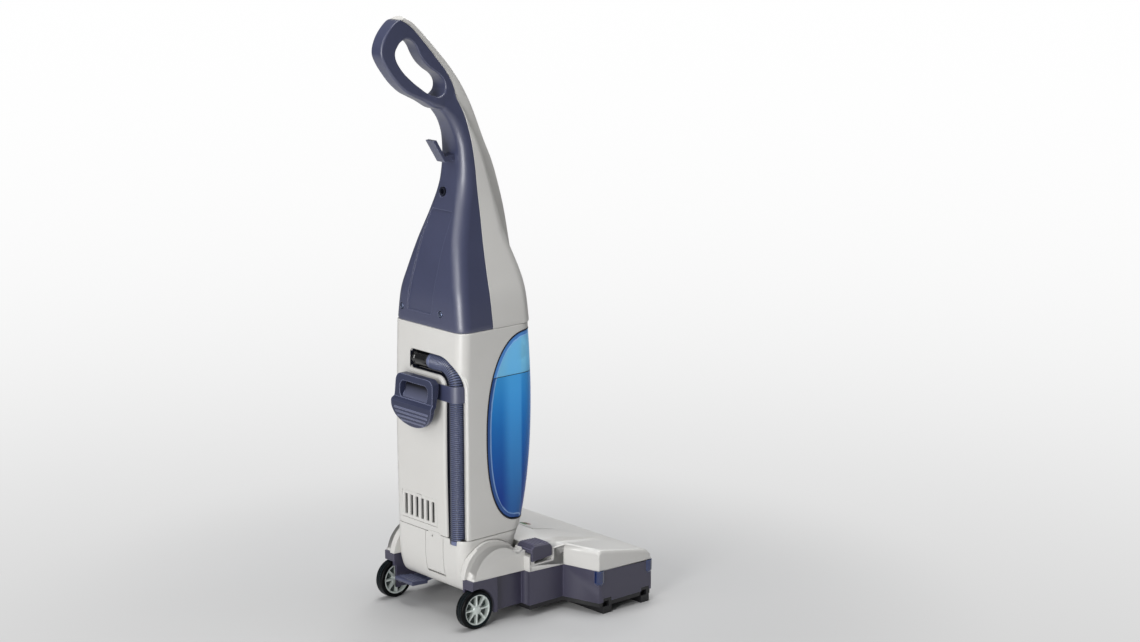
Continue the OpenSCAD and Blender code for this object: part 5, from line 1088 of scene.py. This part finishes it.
# Painted shade: the hose's flanks are darkened by how far they turn from a fixed direction, roughly the one
# from the hose to the main view's camera, on top of the darker grooves between the ribs.
towardsMainView = Vector((-0.62, 0.76, 0.18))
for v, paintedShade in zip(line.data.vertices, line.data.attributes["groove"].data):
    paintedShade.value = max(paintedShade.value * 0.9, min(max((0.8 - v.normal.dot(towardsMainView)) / 0.55, 0), 0.8))
finishPiece(line, "hose_ribbed", hoseVinyl, ["hose"], 80, False)
cuffEnd = hoseLine["port"] - 1 - hoseLine["cuff"]
cuff = turned("cuff", (cuffEnd, hoseLine["y"], hoseLine["top"]),
    [(0, 15.6), (0.9, 16.5), (36.6, 16.5), (38, 17.5), (45, 17.5), (46, 16.8), (46, 0.01)], 72)
cut(cuff, rod((cuffEnd - 1, hoseLine["y"], hoseLine["top"]), (cuffEnd + 3, hoseLine["y"], hoseLine["top"]),
    15, 48))
finishPiece(cuff, "hose_cuff_turned", blackGloss, ["hose_cuff"], 35)
strap = strapForm(strapLook["inner"], strapLook["outer"], strapZ, strapZ + strapLook["height"])
rounded(strap, strapLook["edge"], 2)
finishPiece(strap, "hose_strap_moulded", slateAbs, ["hose_strap"], 35)
print("hose", len(line.data.polygons))

# ---------- wheels ----------
axle = (64.8, 39.0)
wheelX, hubR = 117.0, 31.0
tyreProfile = [(0, hubR), (0, 35.5)] + [(3 - 3 * cos(radians(a)), 36 + 3 * sin(radians(a)))
    for a in (15, 35, 55, 75)]
for groove in (7.6, 13.6):
    tyreProfile += [(groove, 39), (groove + 0.3, 38.4), (groove + 1.1, 38.4), (groove + 1.4, 39)]
tyreProfile += [(17, 39)] + [(17 + 5 * sin(radians(a)), 34 + 5 * cos(radians(a)))
    for a in (15, 30, 45, 60, 75, 90)]
tyreProfile += [(22, 33.2), (21.4, 32.6), (21.4, 31.6), (22, 31.1), (22, hubR)]
for side, flip in (("left", -1), ("right", 1)):
    centre = (flip * wheelX, *axle)
    ring = turned("tyre", centre, tyreProfile, 128, flip)
    bore = rod((flip * (wheelX - 2), *axle), (flip * (wheelX + 30), *axle), hubR, 128)
    cut(ring, bore)
    finishPiece(ring, "tyre_" + side + "_rubber", tyreRubber, ["tyre_" + side], 40)
    rim = turned("rim", centre, [(1, 27.5), (0.2, 28.3), (0.2, 30.9), (20, 30.9), (21, 30.2), (21, 28.8),
        (20.2, 28), (4, 27.5)], 128, flip)
    cut(rim, rod((flip * (wheelX - 2), *axle), (flip * (wheelX + 30), *axle), 27.6, 128))
    # The plate behind the spokes takes the hub's painted shade.
    plate = turned("plate", centre, [(8.5, 0.01), (8.5, 29.5), (11, 29.5), (11, 0.01)], 96, flip)
    cap = turned("cap", centre, [(2, 5.1), (2, 10), (18.2, 10), (19.8, 9.4), (20.8, 8.2), (21.4, 6.2),
        (21.7, 3.4), (21.8, 0.01)], 72, flip)
    # one spoke about the axle, tapering outwards
    blade = []
    for r, w, top in ((8, 2.6, 19.6), (14, 2.1, 19.2), (22, 1.7, 18.8), (28.6, 2.3, 19.2)):
        section = ((1.6, -w), (1.6, w), (top - 0.9, w), (top, w - 0.9), (top, 0.9 - w), (top - 0.9, -w))
        blade.append([(flip * d * mm, v * mm, r * mm) for d, v in section])
    mesh = bpy.data.meshes.new("spoke")
    mesh.from_pydata([p for q in blade for p in q], [],
        [(j * 6 + i, (j + 1) * 6 + i, (j + 1) * 6 + (i + 1) % 6, j * 6 + (i + 1) % 6)
        for j in range(3) for i in range(6)] + [tuple(range(6)), tuple(reversed(range(18, 24)))])
    spoke = bpy.data.objects.new("spoke", mesh)
    scene.collection.objects.link(spoke)
    applyTree(spoke, turnedTree, {"Count": 8, "Place": inFrame(centre), "Material": hubPaint})
    work = bmesh.new()
    work.from_mesh(spoke.data)
    bmesh.ops.recalc_face_normals(work, faces=work.faces)
    work.to_mesh(spoke.data)
    work.free()
    hub = merged("hub", [(rim, hubPaint), (plate, hubShade), (cap, hubPaint), (spoke, hubPaint)])
    finishPiece(hub, "hub_" + side + "_spoked", None, ["hub_" + side], 35)
print("wheels ready")

# ---------- cord hook and pedals ----------
def filleted(points, r, n=6):
    out = []
    for i, p in enumerate(points):
        a, b = points[i - 1], points[(i + 1) % len(points)]
        u, v = Vector(a) - Vector(p), Vector(b) - Vector(p)
        reach = min(r, u.length * 0.45, v.length * 0.45)
        s, e = Vector(p) + u.normalized() * reach, Vector(p) + v.normalized() * reach
        out += [tuple(s.lerp(Vector(p), k / n).lerp(Vector(p).lerp(e, k / n), k / n)) for k in range(n + 1)]
    return out


def plate(outline, y0, y1):
    return skin("plate", [[(x, y, z) for x, z in outline] for y in (y0, y1)])


hookLook = {"reach": 34, "halfWidth": 62, "flapDrop": 44.9, "squash": 0.95, "lift": 1, "ribR": 1.25,
    "grip": 9, "edge": 1.3}
hookBack = backY(hookZ)
hookFace, hookFoot = hookBack + hookLook["reach"], hookZ - 27
rightSide = filleted([(30, 61), (48, 61), (57, 51), (58.5, 14), (62, 7), (62, -1), (61, -8)], 6)[7:-7]
flapLine = [(hookLook["halfWidth"] * cos(radians(a)), hookLook["flapDrop"] * sin(radians(a)))
    for a in [-5 - 170 * k / 46 for k in range(47)]]
hookLine = rightSide + flapLine + [(-x, z) for x, z in reversed(rightSide)]
hookPlate = plate([(x, hookFoot + z * hookLook["squash"] + hookLook["lift"]) for x, z in hookLine], hookBack,
    hookFace + 8)
gripHole = filleted([(-42, 13), (-44, 38), (-36, 46), (36, 46), (44, 38), (42, 13)], hookLook["grip"])
cut(hookPlate, plate([(x, hookFoot + z) for x, z in gripHole], hookFace - 60, hookFace + 30))
hookSide = [(-6, 62), (-4, 34), (-2.5, 12), (2.5, 7.5), (4, 4), (4, -8), (2.5, -24), (-3, -46)]
hookSide += sampled([(-12, -46), (-6, -26), (-5, 0), (-12, 12), (-19, 34), (-22, 62)], 40)
cut(hookPlate, across(-90, 90, [(hookFace + y, hookFoot + z) for y, z in hookSide]), mode="INTERSECT")
rounded(hookPlate, hookLook["edge"], 2)
ribs = []
for i, proud in enumerate((3.6, 2.8, 1.6, -0.6)):
    z = -8 - i * 8
    x = hookLook["halfWidth"] * sqrt(1 - (z / hookLook["flapDrop"]) ** 2) - 9
    out = hookFace + proud
    ribs.append((rod((-x, out, hookFoot + z), (x, out, hookFoot + z), hookLook["ribR"], 20), slateAbs))
scoop = sampled([(-19.4, 47), (-20.4, 40), (-19.2, 28), (-14.5, 20), (-6.6, 12.5)], 24)
scoopPlate = across(-46.5, 46.5,
    [(hookFace + y, hookFoot + z) for y, z in scoop]
    + [(hookFace + y - 1.6, hookFoot + z) for y, z in reversed(scoop)])
neck = block((-30, hookBack + 1, hookFoot + 8), (30, hookFace - 9, hookFoot + 14))
collar = rod((0, hookBack + 1, hookZ), (0, hookBack + 7.6, hookZ), 16)
hookPiece = merged("hook", [(hookPlate, slateEdge), (scoopPlate, scoopShade), (neck, slateAbs),
    (collar, slateAbs)] + ribs)
# Painted shade: the scoop is darkened towards its top.
shade = hookPiece.data.attributes.new("groove", "FLOAT", "POINT")
for face in hookPiece.data.polygons:
    if hookPiece.data.materials[face.material_index] == scoopShade:
        for i in face.vertices:
            shade.data[i].value = min(max((hookPiece.data.vertices[i].co.z / mm - hookFoot - 16) / 20, 0), 1)
finishPiece(hookPiece, "cord_hook_moulded", None, ["cord_hook"], 40)

# side pedal: a ribbed pad over a skirt
padLook = {"inner": 111.5, "skirtOut": 150.0, "outer": 154.5, "ribs": 6, "pitch": 6.6, "ribR": 1.6}
sideIn, sideOut = padLook["inner"], padLook["skirtOut"]
pad = across(-padLook["outer"], -sideIn,
    filleted([(-110.5, 126), (-110.5, 136), (-105, 144), (-66, 146), (-60, 141), (-60, 126)], 2.5, 4))
rounded(pad, 1.2)
padRibs = []
for i in range(padLook["ribs"]):
    y, z = -102 + padLook["pitch"] * i, 144 + 0.33 * i
    padRibs.append((rod((-152, y, z), (-sideIn - 3, y, z), padLook["ribR"], 16), plumPp))
skirtPlate = across(-sideOut, -sideIn - 3.2, [(-110, 118.5), (-110, 127), (-60, 127), (-60, 113)])
sidePlate = across(-157.2, -154.2,
    [(-110.5, 117.5), (-110.5, 136), (-105, 142.5), (-66, 144.5), (-60, 140), (-58.4, 136), (-58.4, 113.5)])
rearPlate = across(-154.4, -sideIn - 3, [(-59.2, 115), (-59.2, 138.5), (-58.4, 136), (-58.4, 115)])
rounded(sidePlate, 0.8, 2)
pedal = merged("pedal", [(part, plumPp) for part in (pad, skirtPlate, sidePlate, rearPlate)] + padRibs)
finishPiece(pedal, "side_pedal_ribbed", None, ["side_pedal"], 38)

# release pedal: a thin tongue with four grip ribs
tongue = across(41, 95, filleted([(46, 44), (46, 51), (84, 56), (87, 54), (87, 48), (84, 46)], 1.5, 4))
rounded(tongue, 1.2)
stem = across(49, 87, [(24, 47.5), (24, 55), (48, 51.5), (48, 45)])
barrel = rod((49, 26, 51.5), (87, 26, 51.5), 4.4)
tongueRibs = [rod((44, 52 + 8 * i, 51.9 + 1.05 * i), (92, 52 + 8 * i, 51.9 + 1.05 * i), 1.2, 16)
    for i in range(4)]
release = merged("tongue", [(part, slateAbs) for part in [tongue, stem, barrel] + tongueRibs])
finishPiece(release, "release_pedal_ribbed", None, ["release_pedal"], 38)
print("hook and pedals ready")

# ---------- rounded copies of the plainer mouldings ----------
copyList = [
    ("top_cover", shellSoft, 0.0), ("chassis", plumPp, 0.0), ("sole_plate", blackNylon, 0.0),
    ("glide_strips", blackNylon, 0.0),
    ("corner_bumpers", navyBumper, 0.0), ("indicator_panel", shellGrey, 0.0),
    ("exhaust_grille", shellGrey, 0.0),
    ("hose_port", slateAbs, 0.0), ("hose_socket", blackNylon, 0.0),
    # The cord gland takes the painted recess shade, so the cord hole reads dark.
    ("upper_hook", slateAbs, 1.2), ("cord_gland", paintedRecessShade, 0.0), ("switch_frame", blackNylon, 0.5),
    ("rocker_green", greenGloss, 0.5),
    ("rocker_red", redGloss, 0.5), ("handle_button", yellowGloss, 0.8), ("brush_roller", bristle, 0.0)]
for node, material, bevel in copyList:
    smoothCopy(node, material, bevel)
print("rounded copies ready")

lensPiece = smoothCopy("indicator_lenses", lensGreen, 0.3)
lensPiece.data.materials.append(lensRed)
middle = sum(v.co.y for v in lensPiece.data.vertices) / len(lensPiece.data.vertices)
for face in lensPiece.data.polygons:
    if face.center.y < middle:
        face.material_index = 1

# What stays as the CAD has it still gets its own finish.
keptFinish = {
    "drive_belt": blackGasket, "brush_bearings": zincSteel, "brush_motor": castAlloy,
    "motor_pulley": castAlloy, "head_duct": blackNylon,
    "pivot_trunnions": zincSteel, "stub_axles": zincSteel, "side_pedal_pin": zincSteel,
    "hinge_pins": zincSteel, "pivot_bushes": blackNylon,
    "exhaust_filter": blackGasket, "suction_motor": castAlloy, "fan_housing": castAlloy,
    "motor_cradle": blackNylon,
    "motor_shaft": zincSteel, "impeller": castAlloy, "lower_duct": blackNylon, "hook_stud": zincSteel}
for node, material in keptFinish.items():
    mesh = cadNodes[node].data
    mesh.materials.clear()
    mesh.materials.append(material)

# ---------- stage, light and camera ----------
# Pale sweep: light grey round the machine, rising to white along one smooth curve with the distance from a
# point 1.2 m out towards the main view's camera; the grey and its rise to white are painted shade.
floorLook = {"nearTone": "#D0D0D0", "farTone": "#FFFFFF", "centre": (-0.90, 0.80, 0), "halfway": 2.54,
    "steepness": 2.92, "gain": 0.86, "shadowEnds": 0.42, "glowFull": 1.05, "half": 40.0}
floorMaterial, tree, place = newMaterial("pale_studio_floor")
distance = addNode(tree, "ShaderNodeVectorMath", {"operation": "LENGTH"}, {0: place})
offset = addNode(tree, "ShaderNodeVectorMath", {"operation": "SUBTRACT"}, {0: place, 1: floorLook["centre"]})
away = addNode(tree, "ShaderNodeVectorMath", {"operation": "LENGTH"}, {0: offset.outputs[0]})
ratio = addNode(tree, "ShaderNodeMath", {"operation": "DIVIDE"},
    {0: away.outputs["Value"], 1: floorLook["halfway"]})
power = addNode(tree, "ShaderNodeMath", {"operation": "POWER"},
    {0: ratio.outputs[0], 1: floorLook["steepness"]})
below = addNode(tree, "ShaderNodeMath", {"operation": "ADD"}, {0: power.outputs[0], 1: 1.0})
nearShare = addNode(tree, "ShaderNodeMath", {"operation": "DIVIDE"}, {0: 1.0, 1: below.outputs[0]})
tone = blendColour(tree, nearShare.outputs[0], paint(floorLook["farTone"]), paint(floorLook["nearTone"]))
lit = addNode(tree, "ShaderNodeVectorMath", {"operation": "SCALE"}, {0: tone, "Scale": floorLook["gain"]})
near = addNode(tree, "ShaderNodeBsdfDiffuse", {}, {0: lit.outputs[0]})
far = addNode(tree, "ShaderNodeEmission", {}, {0: tone, 1: 1.0})
fade = addNode(tree, "ShaderNodeMapRange", {"interpolation_type": "SMOOTHSTEP"},
    {"Value": distance.outputs["Value"],
    "From Min": floorLook["shadowEnds"], "From Max": floorLook["glowFull"]})
seen = addNode(tree, "ShaderNodeMixShader", {}, {0: fade.outputs[0], 1: near.outputs[0], 2: far.outputs[0]})
plain = addNode(tree, "ShaderNodeBsdfDiffuse", {}, {0: (0.62, 0.62, 0.62, 1)})
ray = addNode(tree, "ShaderNodeLightPath")
choice = addNode(tree, "ShaderNodeMixShader", {},
    {0: ray.outputs["Is Camera Ray"], 1: plain.outputs[0], 2: seen.outputs[0]})
finishMaterial(tree, choice.outputs[0])
half = floorLook["half"]
floorMesh = bpy.data.meshes.new("studio_floor")
floorMesh.from_pydata([(-half, -half, 0), (half, -half, 0), (half, half, 0), (-half, half, 0)], [],
    [(0, 1, 2, 3)])
floorMesh.materials.append(floorMaterial)
studioFloor = bpy.data.objects.new("studio_floor", floorMesh)
scene.collection.objects.link(studioFloor)

world = bpy.data.worlds.new("studio")
scene.world = world
world.use_nodes = True
world.node_tree.nodes["Background"].inputs[0].default_value = (0.96, 0.98, 1.0, 1)
world.node_tree.nodes["Background"].inputs[1].default_value = 0.13


def areaLight(name, place, aim, size, power, tint=(1, 1, 1)):
    lamp = bpy.data.lights.new(name, "AREA")
    lamp.shape, lamp.size, lamp.size_y = "RECTANGLE", size[0], size[1]
    lamp.energy, lamp.color = power, tint
    holder = bpy.data.objects.new(name, lamp)
    holder.location = place
    holder.rotation_euler = (Vector(aim) - Vector(place)).to_track_quat("-Z", "Y").to_euler()
    scene.collection.objects.link(holder)


areaLight("key", (0.35, 2.7, 2.6), (0, 0, 0.5), (2.0, 2.0), 24)
areaLight("overhead", (0.0, -0.2, 3.6), (0, 0, 0.3), (2.2, 2.2), 84)
areaLight("cornerStrip", (-1.28, 2.72, 0.9), (0, 0, 0.6), (0.9, 1.8), 58)
areaLight("front", (1.8, -2.6, 2.2), (0, 0, 0.5), (1.8, 1.8), 30)

view = {"azimuth": 228.37, "elevation": 12.65, "side": 222.4, "height": 581.4, "distance": 4799,
    "lens": 77.66}
az, el = radians(view["azimuth"]), radians(view["elevation"])
right = Vector((cos(az), sin(az), 0))
back = Vector((sin(az) * cos(el), -cos(az) * cos(el), sin(el)))
aim = right * view["side"] + Vector((0, 0, view["height"])) + shift
spot = (aim + back * view["distance"]) * mm
lens = bpy.data.cameras.new("view")
lens.lens, lens.sensor_width, lens.clip_end = view["lens"], 36.0, 100.0
camera = bpy.data.objects.new("view", lens)
camera.location = spot
camera.rotation_euler = (-back).to_track_quat("-Z", "Y").to_euler()
scene.collection.objects.link(camera)
scene.camera = camera
scene.view_settings.view_transform = "Standard"

print("stage ready")
